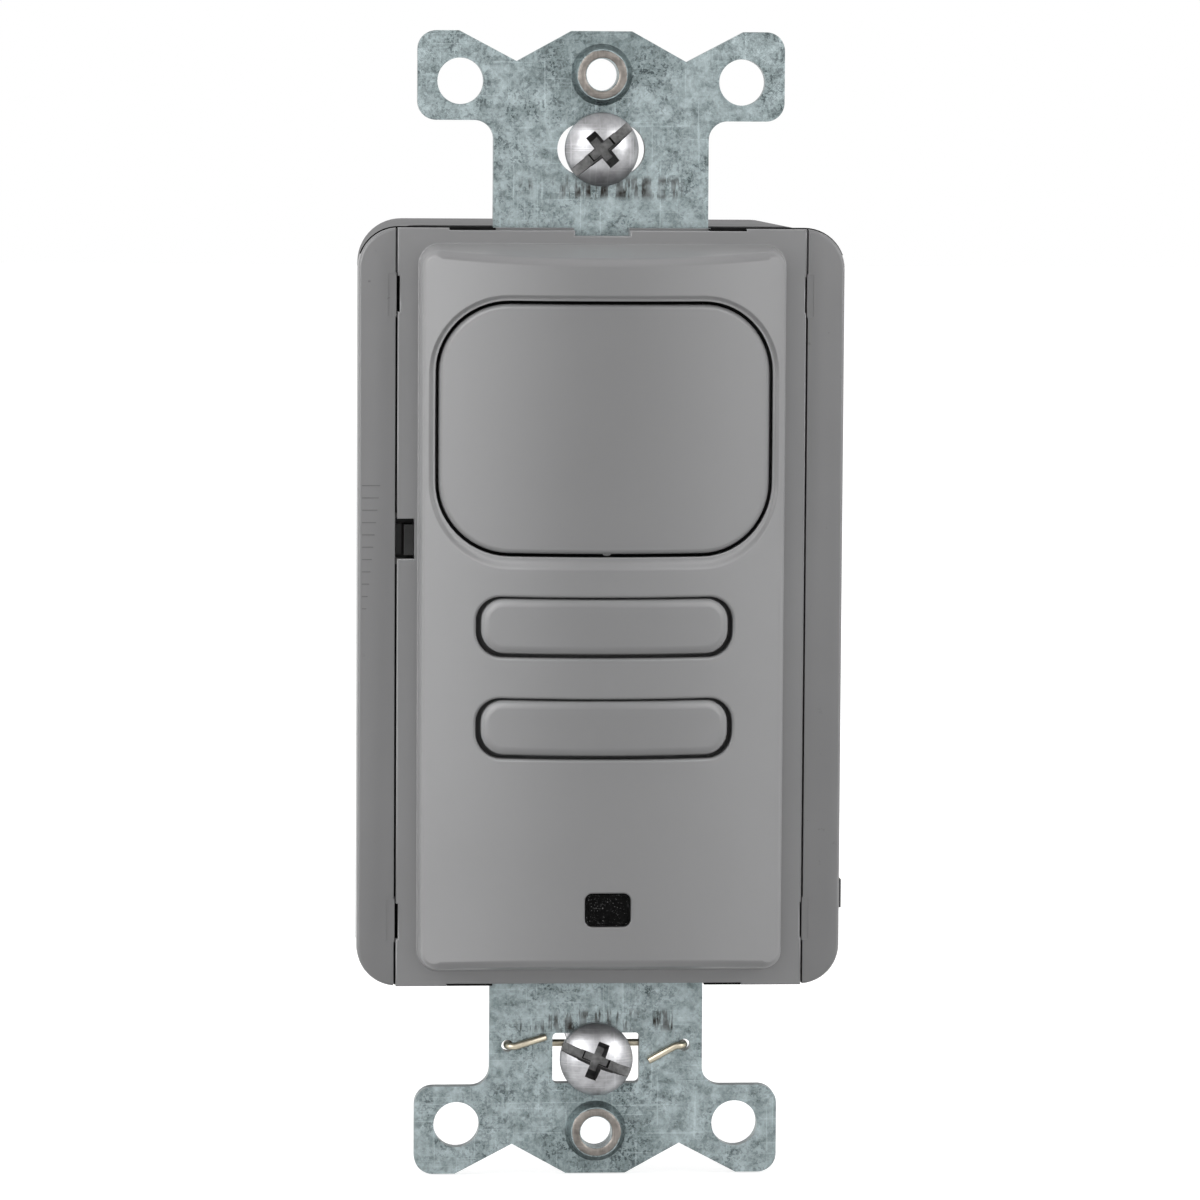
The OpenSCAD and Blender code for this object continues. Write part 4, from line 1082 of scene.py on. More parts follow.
@dataclass(frozen=True)
class BoardLacquer(Finish):
    """Solder-masked circuit board with a faint weave."""

    trace: Triple = (0.1, 0.36, 0.2)

    def make(self) -> Material:
        """Builds the finish.

        Returns:
            The material.
        """
        material, sheet, shader = self._open()
        bricks = sheet.add("ShaderNodeTexBrick", Scale=260.0, Mortar_Size=0.06)
        sheet.join(sheet.coords(), bricks.inputs["Vector"])
        grain = self._effect(sheet, Effect.GRAIN, Scale=2600.0, Clouds=150.0)
        base = sheet.blend(grain["Tone"], rgba(self.color, 0.85), rgba(self.color, 1.15))
        color = sheet.blend(sheet.times(bricks.outputs["Fac"], 0.5), base, rgba(self.trace))
        self._look(sheet, shader, color, grain["Tone"], 0.12, self.roughness)
        self._bump(sheet, shader, grain["Height"], 0.01, 0.4)
        return material


class Palette:
    """All finishes, each made once."""

    def __init__(self) -> None:
        """Builds the finishes of every material slot."""
        grey = (0.487, 0.487, 0.49)
        smooth = {"grain_scale": 1400.0, "wear": 0.0}
        finishes = [
            ZincSteel("zinc_steel", (0.365, 0.405, 0.408), 0.3),
            PlainMetal("nickel_steel", (0.76, 0.76, 0.77), 0.28, dull=(0.22, 0.22, 0.22), dull_share=0.9,
                       patch_scale=520.0),
            # The recess finishes paint light: shade on the floors, black shade on the walls and a highlight on the
            # edges.
            PlainMetal("recess_floor", (0.46, 0.46, 0.46), 0.4, dull=(0.14, 0.14, 0.14), dull_share=0.8,
                       patch_scale=1800.0),
            PlainMetal("recess_edge", (0.97, 0.97, 0.97), 0.45, dull=(0.8, 0.8, 0.8), dull_share=0.5),
            Plastic("recess_wall", (0.03, 0.03, 0.03), 0.6, 0.1),
            PlainMetal("tinned_wire", (0.72, 0.69, 0.62), 0.28, dull=(0.44, 0.41, 0.35), dull_share=0.5),
            PlainMetal("burred_steel", (0.52, 0.5, 0.48), 0.36, dull=(0.14, 0.13, 0.12), dull_share=0.85,
                       patch_scale=900.0),
            Plastic("fibre", (0.3, 0.29, 0.27), 0.7, grain_scale=2500.0, grain_depth=0.02),
            # The wings' grey is the cover's grey darkened to 0.9 as painted shade; their scuffs are real marks.
            Plastic("grey_wing", tinted(grey, 0.9), 0.36, grain_scale=1800.0, grain_depth=0.002, scuff=0.5, wear=0.0),
            Plastic("grey_cover", grey, 0.335, grain_depth=0.0012, cloud=0.03, **smooth),
            Plastic("grey_button", tinted(grey, 0.965), 0.335, grain_depth=0.0012, cloud=0.03, **smooth),
            Plastic("lens_plastic", tinted(grey, 0.95), 0.335, grain_depth=0.001, cloud=0.02, **smooth),
            # Near-black finish of the pieces that paint the shade in slots, seams and the groove round the lens.
            Plastic("seam_black", (0.01, 0.01, 0.01), 0.7, 0.05),
            Plastic("engraved_lines", (0.36, 0.36, 0.36), 0.6),
            Plastic("black_plastic", (0.1, 0.1, 0.1), 0.42, 0.2),
            Plastic("housing_plastic", (0.2, 0.2, 0.205), 0.5, 0.3, grain_depth=0.012, wear=0.2),
            SparkleWindow("window_plastic", (0.004, 0.004, 0.004), 0.4, 0.05),
            BoardLacquer("board", (0.05, 0.27, 0.14), 0.3),
            PlainMetal("can_steel", (0.75, 0.75, 0.75), 0.25),
            Plastic("chip_plastic", (0.1, 0.1, 0.11), 0.5, grain_scale=4000.0, grain_depth=0.015),
            Plastic("varistor_coat", (0.1, 0.36, 0.42), 0.3, grain_scale=1800.0, grain_depth=0.03),
            Plastic("ferrite", (0.16, 0.14, 0.13), 0.6, grain_scale=2200.0, grain_depth=0.03),
        ]
        finishes += [Plastic(name, color, roughness) for name, color, roughness in (
            ("diode_plastic", (0.08, 0.08, 0.16), 0.15), ("lamp_plastic", (0.72, 0.16, 0.1), 0.15),
            ("switch_plastic", (0.22, 0.22, 0.22), 0.5), ("stem_plastic", (0.85, 0.83, 0.74), 0.4),
            ("relay_plastic", (0.1, 0.24, 0.5), 0.35), ("film_plastic", (0.78, 0.62, 0.16), 0.4),
            ("can_sleeve", (0.08, 0.12, 0.3), 0.35))]
        finishes += [PlainMetal(name, color, roughness, dull=dull) for name, color, roughness, dull in (
            ("brass", (0.8, 0.66, 0.38), 0.24, (0.5, 0.38, 0.2)),
            ("clamp_brass", (0.82, 0.72, 0.5), 0.26, (0.55, 0.45, 0.28)),
            ("copper_screw", (0.78, 0.55, 0.28), 0.2, (0.5, 0.32, 0.16)),
            ("red_screw", (0.6, 0.12, 0.08), 0.3, (0.4, 0.1, 0.08)),
            ("blue_screw", (0.15, 0.3, 0.55), 0.3, (0.12, 0.2, 0.36)),
            ("silver_screw", (0.84, 0.84, 0.84), 0.18, (0.5, 0.5, 0.5)),
            ("green_screw", (0.1, 0.42, 0.2), 0.3, (0.08, 0.26, 0.14)))]
        self.materials = {finish.name: finish.make() for finish in finishes}

    def paint(self, obj: Object, name: str) -> None:
        """Gives an object one finish on all of its faces.

        Args:
            obj: Object to paint.
            name: Name of the finish.
        """
        material = self.materials[name]
        if not obj.material_slots:
            obj.data.materials.append(material)
        for slot in obj.material_slots:
            slot.material = material


# Sub-assemblies


def settle(obj: Object, palette: Palette, slot: str, *nodes: str, finish: str = "",
           body: Body = Body.SWITCH) -> None:
    """Dresses a new piece, rides it on its body and lets it stand for its nodes.

    Args:
        obj: The piece.
        palette: The finishes.
        slot: Material slot of the record.
        *nodes: CAD nodes that it stands for.
        finish: Finish of the piece, which has the slot's name if it isn't given.
        body: Body that it rides on.
    """
    palette.paint(obj, finish or slot)
    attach(obj, body.value)
    if nodes:
        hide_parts(*nodes)
    LOG.info("%s: %d faces on %s", obj.name, len(obj.data.polygons), body.value)


def crown_row(shell: Shell, outline: Outline, inset: float, inward: float = 0.0, extra: float = 0.0) -> list[int]:
    """Adds an outline's points on a surface that follows the crown.

    Args:
        shell: Mesh that receives them.
        outline: The outline.
        inset: How far the surface lies below the crown.
        inward: How far the outline is drawn in.
        extra: How far the points lie behind the surface.

    Returns:
        The points' numbers.
    """
    return shell.ring([(x, crown_y(x, inset) + extra, z) for x, z in outline.loop(inward)])


def crown_edge(shell: Shell, outline: Outline, inset: float, size: Pair, steps: int) -> list[list[int]]:
    """Adds the rows of a rounded edge whose last row has the crown's normals.

    Args:
        shell: Mesh that receives them.
        outline: Outline of the foot of the edge.
        inset: How far the face inside the edge lies below the crown.
        size: Width and depth of the edge.
        steps: Number of steps across it.

    Returns:
        Numbers of each row's points.
    """
    width, depth = size
    rows = [crown_row(shell, outline, inset, extra=depth)]
    for i in range(1, steps + 1):
        distance = width * (1 - math.cos(QUARTER * i / steps))
        drop = quarter_drop(distance, width, depth)
        spots = [(x, crown_y(x, inset) + drop, z) for x, z in outline.loop(distance)]
        rows.append(shell.ring(spots, [crown_normal(x) for x, _, _ in spots] if i == steps else None))
    return rows


def crown_face(shell: Shell, outer: list[int], holes: list[list[int]], inset: float, spacing: float,
               shown: bool = False) -> None:
    """Fills a face that follows the crown.

    Args:
        shell: Mesh that holds the loops.
        outer: Numbers of the outer loop's points.
        holes: Numbers of each hole's points.
        inset: How far the face lies below the crown.
        spacing: Distance between free points.
        shown: True for a visible front with the crown's normals, False for a face that looks backwards.
    """
    fill_between(shell, outer, holes, spacing, lambda x: crown_y(x, inset), crown_normal if shown else None, not shown)


def crowned_slab(shell: Shell, outline: Outline, inset: float, thick: float) -> None:
    """Adds a closed slab whose front and back follow the crown.

    Args:
        shell: Mesh that receives it.
        outline: Its outline.
        inset: How far its front lies below the crown.
        thick: Its thickness.
    """
    front = crown_row(shell, outline, inset)
    back = crown_row(shell, outline, inset + thick)
    shell.bridge(back, front)
    fill_between(shell, front, [], 2.0, lambda x: crown_y(x, inset))
    crown_face(shell, back, [], inset + thick, 2.0)


@dataclass(frozen=True)
class Lip:
    """Soft lip round an opening, in millimetres."""

    side: float
    top: float
    foot: float
    depth: float
    ledge: float = 0.0

    def width(self, nx: float, nz: float) -> float:
        """Width of the lip where the outline's outward normal is nx, nz."""
        return math.hypot(nx * self.side, nz * (self.top if nz > 0 else self.foot))

    def place(self, width: float, share: float) -> Pair:
        """Finds a point of the lip's section.

        Args:
            width: Width of the lip there.
            share: Share of the way from the lip's outer end to the wall.

        Returns:
            Its distance from the wall and its depth below the crown.
        """
        if self.ledge:
            distance = width * (1 - share)
            return distance, step_drop(distance, self.ledge * width, (1 - self.ledge) * width, self.depth)
        distance = width * (1 - math.sin(QUARTER * share))
        return distance, quarter_drop(distance, width, self.depth)


@dataclass
class FrontCover:
    """The cover: a flange and a raised face with a convex crown, closed behind."""

    face_w: float = 33.2
    face_h: float = 66.2
    face_r: float = 1.9
    side_draft: float = 3.3
    end_draft: float = 10.0
    edge_r: float = 0.85
    base_r: float = 0.15
    wall_t: float = 1.05
    flange_w: float = 37.1
    flange_h: float = 69.1
    relief_x: Pair = (-13.9, 13.1)
    relief: float = 0.2
    flange_edge: float = 0.12
    key_low: float = 4.55
    key_high: float = 8.21
    key_x: float = 16.99
    slot_low: float = 26.95
    slot_high: float = 30.2
    slot_right: float = 0.1
    slot_left: float = 0.2
    pry_w: float = 5.06
    pry_depth: float = 0.7
    pin_r: float = 0.7
    pin_z: float = 18.0
    pin_y: Pair = (-3.25, -1.4)
    base_steps: int = 4
    edge_steps: int = 9
    lens: Outline = field(default_factory=lambda: Outline(30.4, 23.0, 6.5, z=16.68, step=0.7, arc=14, bow=0.08))
    upper: Outline = field(default_factory=lambda: Outline(23.2, 5.45, 2.25, z=-1.17, step=0.8, arc=9))
    lower: Outline = field(default_factory=lambda: Outline(23.2, 5.45, 2.25, z=-10.34, step=0.8, arc=9))
    window: Outline = field(default_factory=lambda: Outline(4.1, 3.0, 0.65, x=0.3, z=-26.7, step=0.5, arc=6))
    lens_lip: Lip = Lip(side=0.6, top=0.55, foot=1.2, depth=0.28, ledge=0.3)
    button_lip: Lip = Lip(side=0.3, top=0.25, foot=0.3, depth=0.25)
    window_lip: Lip = Lip(side=0.2, top=0.2, foot=0.2, depth=0.12)

    def _slope(self, nx: float, nz: float) -> float:
        """Lean of the face's wall where its outward normal is nx, nz."""
        return nx * nx * math.tan(math.radians(self.side_draft)) + nz * nz * math.tan(math.radians(self.end_draft))

    def _section(self, x: float, nx: float, nz: float) -> tuple[list[Pair], list[Pair]]:
        """Cuts the wall of the raised face at one point of its outline.

        Args:
            x: Sideways place of the point.
            nx: Outward normal's x.
            nz: Outward normal's z.

        Returns:
            Inward distances with heights above the flange, and their normals in that plane.
        """
        slope = self._slope(nx, nz)
        lean = math.atan(slope)

        def rise(o: float) -> float:
            """Height of the crown above the flange at an inward distance o."""
            return FLANGE_FRONT - crown_y(x - nx * o)

        top = rise(0.0)
        for _ in range(ROUNDS):
            top = rise(top * slope)
        foot = top * slope
        pitch = math.atan((rise(foot + 0.05) - rise(foot - 0.05)) / 0.1)
        wall = (math.cos(lean), -math.sin(lean))
        roof = (math.sin(pitch), -math.cos(pitch))
        reach = self.edge_r + roof[0] * foot + roof[1] * top
        size = wall[0] * roof[1] - wall[1] * roof[0]
        cx = (self.edge_r * roof[1] - wall[1] * reach) / size
        cy = (wall[0] * reach - roof[0] * self.edge_r) / size
        base_x = self.base_r * slope - self.base_r / math.cos(lean)
        spots, normals = [], []
        for i in range(self.base_steps + 1):
            angle = -QUARTER + (QUARTER - lean) * i / self.base_steps
            spots.append((base_x + self.base_r * math.cos(angle), self.base_r * (1 + math.sin(angle))))
            normals.append((-math.cos(angle), -math.sin(angle)))
        for i in range(self.edge_steps + 1):
            angle = (math.pi - lean) + ((QUARTER + pitch) - (math.pi - lean)) * i / self.edge_steps
            spots.append((cx + self.edge_r * math.cos(angle), cy + self.edge_r * math.sin(angle)))
            normals.append((math.cos(angle), math.sin(angle)))
        return spots, normals

    def _flange_loop(self) -> list[Quad]:
        """Walks round the flange with its notches, anticlockwise from the front.

        Returns:
            X, Z and the inward steps in x and z of the rounded edge at each corner.
        """
        w, h, e = self.flange_w / 2, self.flange_h / 2, self.flange_edge
        right, left, low, high = w - self.slot_right, w - self.slot_left, self.slot_low, self.slot_high
        pry, dip, short = self.pry_w / 2, h - self.pry_depth, h - self.relief
        x0, x1 = self.relief_x
        return [
            (w, -h, -e, e), (w, -high, -e, -e), (right, -high, -e, -e), (right, -low, -e, e), (w, -low, -e, e),
            (w, low, -e, -e), (right, low, -e, -e), (right, high, -e, e), (w, high, -e, e), (w, h, -e, -e),
            (x1, h, e, -e), (x1, short, e, -e), (pry, short, e, -e), (pry, dip, e, -e), (-pry, dip, -e, -e),
            (-pry, short, -e, -e), (x0, short, -e, -e), (x0, h, -e, -e), (-w, h, e, -e),
            (-w, high, e, e), (-left, high, e, e), (-left, low, e, -e), (-w, low, e, -e),
            (-w, self.key_high, e, e), (-self.key_x, self.key_high, 0.0, e), (-self.key_x, self.key_low, 0.0, -e),
            (-w, self.key_low, e, -e),
            (-w, -low, e, e), (-left, -low, e, e), (-left, -high, e, -e), (-w, -high, e, -e), (-w, -h, e, e),
            (x0, -h, -e, e), (x0, -short, -e, e), (x1, -short, e, e), (x1, -h, e, e),
        ]

    def _opening(self, shell: Shell, outline: Outline, lip: Lip) -> tuple[list[int], list[int]]:
        """Adds an opening's soft lip and its wall.

        Args:
            shell: The cover's mesh.
            outline: The opening.
            lip: Its lip.

        Returns:
            Numbers of the lip's outermost points and of the wall's rear points.
        """
        rows = []
        steps = 12 if lip.ledge else 7
        for i in range(steps + 1):
            spots, normals = [], []
            for x, z, nx, nz in outline.trace():
                distance, drop = lip.place(lip.width(nx, nz), i / steps)
                px = x + nx * distance
                spots.append((px, crown_y(px) + drop, z + nz * distance))
                normals.append(crown_normal(px) if i == 0 else NONE)
            rows.append(shell.ring(spots, normals))
        rows.append(crown_row(shell, outline, 0.0, extra=lip.depth + 0.3))
        rows.append(crown_row(shell, outline, SHELL_T))
        shell.stack(rows)
        return rows[0], rows[-1]

    def build(self) -> Object:
        """Makes the cover's mesh.

        Returns:
            The cover.
        """
        shell = Shell()
        outline = Outline(self.face_w, self.face_h, self.face_r, step=0.9)
        trace = outline.trace()
        sections = [self._section(x, nx, nz) for x, _, nx, nz in trace]
        rows = []
        last = len(sections[0][0]) - 1
        for level in range(last + 1):
            spots, normals = [], []
            for (x, z, nx, nz), (cut, lean) in zip(trace, sections):
                o, h = cut[level]
                u, v = lean[level]
                spots.append((x - nx * o, FLANGE_FRONT - h, z - nz * o))
                normals.append((-nx * u, -v, -nz * u))
            if level == last:
                spots = [(x, crown_y(x), z) for x, _, z in spots]
                normals = [crown_normal(x) for x, _, _ in spots]
            rows.append(shell.ring(spots, normals))
        shell.stack(rows)
        holes = [self._opening(shell, hole, lip) for hole, lip in (
            (self.lens, self.lens_lip), (self.upper, self.button_lip), (self.lower, self.button_lip),
            (self.window, self.window_lip))]
        crown_face(shell, rows[-1], [front for front, _ in holes], 0.0, 1.0, shown=True)
        back = self._flange(shell, rows[0])
        self._inside(shell, outline, back, [rear for _, rear in holes])
        for sx, sz in ((-1, -1), (-1, 1), (1, -1), (1, 1)):
            peg(shell, self.pin_r, self.pin_y, chamfer=0.15, sides=20, x=sx * (self.flange_w / 2 - 1),
                z=sz * self.pin_z)
        return shell.to_object("cover_shell")

    def _flange(self, shell: Shell, base: list[int]) -> list[int]:
        """Adds the flat flange round the raised face.

        Args:
            shell: The cover's mesh.
            base: Numbers of the raised face's lowest row.

        Returns:
            Numbers of the flange's rear points.
        """
        corners = self._flange_loop()
        rim = [(x, z) for x, z, _, _ in corners]
        ahead = (0.0, -1.0, 0.0)
        inner = shell.ring([(x + dx, FLANGE_FRONT, z + dz) for x, z, dx, dz in corners], [ahead] * len(corners))
        edge, back = shell.level(rim, FLANGE_FRONT + self.flange_edge), shell.level(rim, FLOOR_FRONT)
        shell.bridge(edge, inner)
        shell.bridge(back, edge)
        fill_between(shell, inner, [base])
        return back

    def _inside(self, shell: Shell, outline: Outline, back: list[int], holes: list[list[int]]) -> None:
        """Closes the cover behind: the flange's back, the inner walls and the inner crown.

        Args:
            shell: The cover's mesh.
            outline: Outline of the raised face.
            back: Numbers of the flange's rear points.
            holes: Numbers of the rear points of each opening.
        """
        tops = []
        for x, z, nx, nz in outline.trace():
            o = self.wall_t
            for _ in range(ROUNDS):
                o = self.wall_t + self._slope(nx, nz) * (FLANGE_FRONT - crown_y(x - nx * o, SHELL_T))
            tops.append((x - nx * o, crown_y(x - nx * o, SHELL_T), z - nz * o))
        foot = outline.loop(self.wall_t)
        rows = [shell.level(foot, FLOOR_FRONT), shell.level(foot, FLANGE_FRONT), shell.ring(tops)]
        fill_between(shell, back, [rows[0]], flip=True)
        shell.bridge(rows[1], rows[0])
        shell.bridge(rows[2], rows[1])
        crown_face(shell, rows[2], holes, SHELL_T, 3.0)

    def dress(self, palette: Palette) -> None:
        """Places the cover and gives it its finish."""
        settle(self.build(), palette, "grey_cover", "front_cover")


@dataclass
class SensorLens:
    """The large lens: a hollow shell slightly below the crown, with a rounded edge and a gate mark."""

    width: float = 29.8
    height: float = 22.4
    radius: float = 6.2
    z: float = 16.68
    bow: float = 0.08
    recess: float = 0.25
    wall_t: float = 0.8
    edge: float = 0.45
    edge_depth: float = 0.4
    tab_w: float = 17.4
    tab_h: float = 25.4
    tab_t: float = 0.3

    def build(self) -> Object:
        """Makes the lens's mesh.

        Returns:
            The lens.
        """
        shell = Shell()
        outline = Outline(self.width, self.height, self.radius, z=self.z, step=0.7, arc=14, bow=self.bow)
        hollow = self.recess + self.wall_t
        rows = [crown_row(shell, outline, hollow, self.wall_t), shell.level(outline.loop(self.wall_t), LENS_BACK),
                shell.level(outline.loop(), LENS_BACK)]
        rows += crown_edge(shell, outline, self.recess, (self.edge, self.edge_depth), 8)
        shell.stack(rows)
        crown_face(shell, rows[-1], [], self.recess, 1.0, shown=True)
        crown_face(shell, rows[0], [], hollow, 2.0)
        self._gate(shell)
        return shell.to_object("lens_shell")

    def _tabs(self) -> Object:
        """Makes the two tabs that hold the lens behind the cover.

        Returns:
            The tabs.
        """
        shell = Shell()
        for way in (-1, 1):
            length = (self.tab_h - self.height) / 2 + 0.4
            z = self.z + way * (self.tab_h - length) / 2
            tab = Outline(self.tab_w, length, 0.3, z=z, step=2.0, arc=3)
            crowned_slab(shell, tab, SHELL_T + 0.55, self.tab_t)
        return shell.to_object("lens_tabs")

    def _gate(self, shell: Shell) -> None:
        """Adds the small nib left by the gate at the lower edge.

        Args:
            shell: Mesh that receives it.
        """
        x0, z0 = 0.05, self.z - self.height / 2 + 0.12
        y0 = crown_y(x0, self.recess) + 0.24
        front = [(x0 + 0.42 * math.cos(a), y0, z0 - 0.3 * math.sin(a)) for a in
                 (math.pi * (1 - k / 8) for k in range(9))]
        back = [(x, y + 1.0, z) for x, y, z in front]
        first, second = shell.ring(front), shell.ring(back)
        shell.bridge(second, first)
        shell.cap(first)
        shell.cap(second, flip=True)

    def dress(self, palette: Palette) -> None:
        """Places the lens and gives it its finish."""
        settle(self.build(), palette, "lens_plastic", "pir_lens")
        # The tabs are near-black as painted shade in the groove round the lens.
        settle(self._tabs(), palette, "black_plastic", finish="seam_black")


@dataclass
class PushButton:
    """A slim button: a cap that follows the crown, a flange behind the cover and a rod."""

    body: Body
    z: float
    width: float = 22.3
    height: float = 4.95
    radius: float = 2.05
    lift: float = 0.05
    proud: float = 0.15
    flange: float = 1.1
    flange_t: float = 0.9
    flange_gap: float = 0.2
    rod_d: float = 3.6
    rod_front: float = 2.2
    edge: float = 0.8
    edge_depth: float = 0.4

    def build(self) -> Object:
        """Makes the button's mesh.

        Returns:
            The button.
        """
        shell = Shell()
        outline = Outline(self.width, self.height, self.radius, z=self.z + self.lift, step=0.8, arc=9)
        wide = Outline(self.width + 2 * self.flange, self.height + 2 * self.flange, self.radius + self.flange,
                       z=self.z, step=0.8, arc=9)
        front = SHELL_T + self.flange_gap
        back = front + self.flange_t
        rows = [crown_row(shell, wide, back), crown_row(shell, wide, front), crown_row(shell, outline, front)]
        rows += crown_edge(shell, outline, -self.proud, (self.edge, self.edge_depth), 7)
        shell.stack(rows)
        crown_face(shell, rows[-1], [], -self.proud, 0.9, shown=True)
        crown_face(shell, rows[0], [], back, 2.0)
        peg(shell, self.rod_d / 2, (CROWN_FRONT + self.rod_front, STEM_FRONT), chamfer=0.3, sides=32, x=0.0, z=self.z)
        return shell.to_object(self.body.value + "_cap")

    def dress(self, palette: Palette) -> None:
        """Places the button and gives it its finish."""
        settle(self.build(), palette, "grey_button", self.body.value, body=self.body)


@dataclass
class PhotocellWindow:
    """The small black window with its thin rim and light pipe."""

    width: float = 4.0
    height: float = 2.9
    radius: float = 0.6
    x: float = 0.3
    z: float = -26.7
    proud: float = 0.05
    rim: float = 0.2
    flange: float = 1.0
    flange_t: float = 0.8
    pipe_r: float = 1.2
    pipe_front: float = 1.8

    def build(self) -> Object:
        """Makes the window's mesh.

        Returns:
            The window.
        """
        shell = Shell()
        outline = Outline(self.width, self.height, self.radius, self.x, self.z, step=0.25, arc=8)
        chance = random.Random(7)
        levels = [(0.0, SHELL_T + 0.1), (0.0, 0.03), (0.04, -self.proud), (self.rim - 0.06, -self.proud),
                  (self.rim, 0.1)]
        rows = [crown_row(shell, outline, inset, inward) for inward, inset in levels]
        shell.stack(rows)
        fill_between(shell, rows[-1], [], 0.22, lambda x: crown_y(x, 0.1 + 0.05 * chance.random()))
        shell.cap(rows[0], flip=True)
        wide = Outline(self.width + 2 * self.flange, self.height + 2 * self.flange, self.radius, self.x, self.z, arc=4)
        crowned_slab(shell, wide, SHELL_T + 0.05, self.flange_t)
        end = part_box("photocell_window")[1][1] / MM
        peg(shell, self.pipe_r, (CROWN_FRONT + self.pipe_front, end), chamfer=0.2, sides=32, x=self.x, z=self.z)
        return shell.to_object("photocell_face", 60.0)

    def dress(self, palette: Palette) -> None:
        """Places the window and gives it its finish."""
        settle(self.build(), palette, "window_plastic", "photocell_window")


@dataclass
class MachineScrew:
    """A screw with a domed head, a combination recess and a real thread, along +Y from its head's underside."""

    name: str
    head_d: float = 6.7
    head_h: float = 2.2
    rim_h: float = 0.7
    slot_w: float = 1.0
    slot_depth: float = 1.5
    turn: float = 0.0
    neck_d: float = 2.9
    neck_l: float = 2.35
    thread_d: float = 3.5
    thread_l: float = 16.0
    edge_r: float = 0.09
    sides: int = 36
    steps_per_turn: int = 10

    def _ball(self) -> float:
        """Radius of the ball that the dome is a cap of."""
        cap = self.head_h - self.rim_h
        return (self.head_d ** 2 / 4 + cap * cap) / (2 * cap)

    def _centre(self) -> Vector:
        """Middle of that ball in metres."""
        return Vector((0.0, (self._ball() - self.head_h) * MM, 0.0))

    def _mark_recess(self, mesh: Mesh) -> None:
        """Numbers the recess's faces for their finish: 1 floors in painted shade, 2 walls below the slot in black
        painted shade, 3 rubbed edges, pale with a painted highlight.

        Args:
            mesh: The screw's mesh before it is placed.
        """
        ball, centre = self._ball() * MM, self._centre()
        floor = (self.slot_depth - self.head_h + 0.05) * MM
        for face in mesh.polygons:
            spot = face.center
            if spot.y > -0.2 * MM or math.hypot(spot.x, spot.z) > (self.head_d / 2 - 0.13) * MM:
                continue
            if (spot - centre).length < ball - 0.1 * MM:
                face.material_index = 2 if spot.y > floor and face.normal.y > -0.8 else 1
            elif face.normal.dot((spot - centre).normalized()) < 0.97:
                face.material_index = 3

    def _even_dome(self, mesh: Mesh) -> None:
        """Gives the dome's faces a true ball's normals, so that the recess leaves no streaks.

        Args:
            mesh: The screw's mesh before it is placed.
        """
        ball, centre = self._ball() * MM, self._centre()
        normals = [NONE] * len(mesh.loops)
        for face in mesh.polygons:
            rays = [mesh.vertices[i].co - centre for i in face.vertices]
            if face.normal.dot((face.center - centre).normalized()) > 0.985 and all(
                    abs(ray.length - ball) < 0.03 * MM for ray in rays):
                for loop, ray in zip(face.loop_indices, rays):
                    normals[loop] = tuple(ray.normalized())
        mesh.normals_split_custom_set(normals)

    def _head(self) -> Object:
        """Turns the head and cuts its recess.

        Returns:
            The head.
        """
        shell = Shell()
        ball = self._ball()
        edge = self.head_d / 2
        profile = [(0.0, -self.head_h)]
        top = math.asin(min(1.0, (edge - 0.16) / ball))
        for i in range(1, 19):
            angle = top * i / 18
            profile.append((ball * math.sin(angle), -self.head_h + ball * (1 - math.cos(angle))))
        last_y = profile[-1][1]
        profile += [(edge - 0.05, last_y + 0.09), (edge, last_y + 0.22), (edge, -0.14), (edge - 0.12, 0.0), (0.0, 0.0)]
        lathe(shell, profile, 96)
        head = shell.to_object(self.name + "_head")
        carve(head, [self._slot(), self._cross(0.0), self._cross(90.0)])
        return head

    def _wedge(self, name: str, top: Pair, bottom: Pair, depth: float, turn: float) -> Object:
        """Makes a tapered cutter that enters the head from the front.

        Args:
            name: Name of the cutter.
            top: Length and width at the dome's top.
            bottom: Length and width at its lower end.
            depth: Depth below the dome's top.
            turn: Turn about the screw's axis in degrees.

        Returns:
            The cutter.
        """
        shell = Shell()
        cos, sin = math.cos(math.radians(turn)), math.sin(math.radians(turn))
        rows = []
        for (length, width), y in ((bottom, -self.head_h + depth), (top, -self.head_h - 0.01), (top, -self.head_h - 1)):
            rows.append(shell.level([(sx * length / 2 * cos - sz * width / 2 * sin,
                                      sx * length / 2 * sin + sz * width / 2 * cos)
                                     for sx, sz in ((1, -1), (1, 1), (-1, 1), (-1, -1))], y))
        shell.stack(rows, capped=True)
        return shell.to_object(name)

    def _slot(self) -> Object:
        """Cutter of the straight slot."""
        top, bottom = ((self.head_d + 2, width) for width in (self.slot_w, self.slot_w * 0.9))
        return self._wedge("slot_cutter", top, bottom, self.slot_depth, self.turn)

    def _cross(self, turn: float) -> Object:
        """Cutter of one pair of the cross recess's arms, turned from the slot."""
        top, bottom = ((share * self.head_d, thin * self.head_d) for share, thin in ((0.57, 0.17), (0.34, 0.11)))
        return self._wedge("cross_cutter", top, bottom, self.head_h * 0.86, self.turn + turn)

    def _thread_r(self, y: float, share: float) -> float:
        """Finds the thread's radius, which runs out at both ends.

        Args:
            y: Place along the screw.
            share: Share of a turn about its axis.

        Returns:
            The radius in mm.
        """
        crest = self.thread_d / 2
        root = crest - 0.54 * THREAD_PITCH
        phase = (y / THREAD_PITCH + share) % 1.0
        wave = min(1.0, max(0.0, 1.6 * (1 - abs(2 * phase - 1)) - 0.25))
        from_end = self.neck_l + self.thread_l - y
        limit = min(crest, root - 0.2 + 0.9 * from_end, self.neck_d / 2 + 1.6 * (y - self.neck_l) + 0.02)
        return min(root + (crest - root) * wave, max(limit, 0.3))

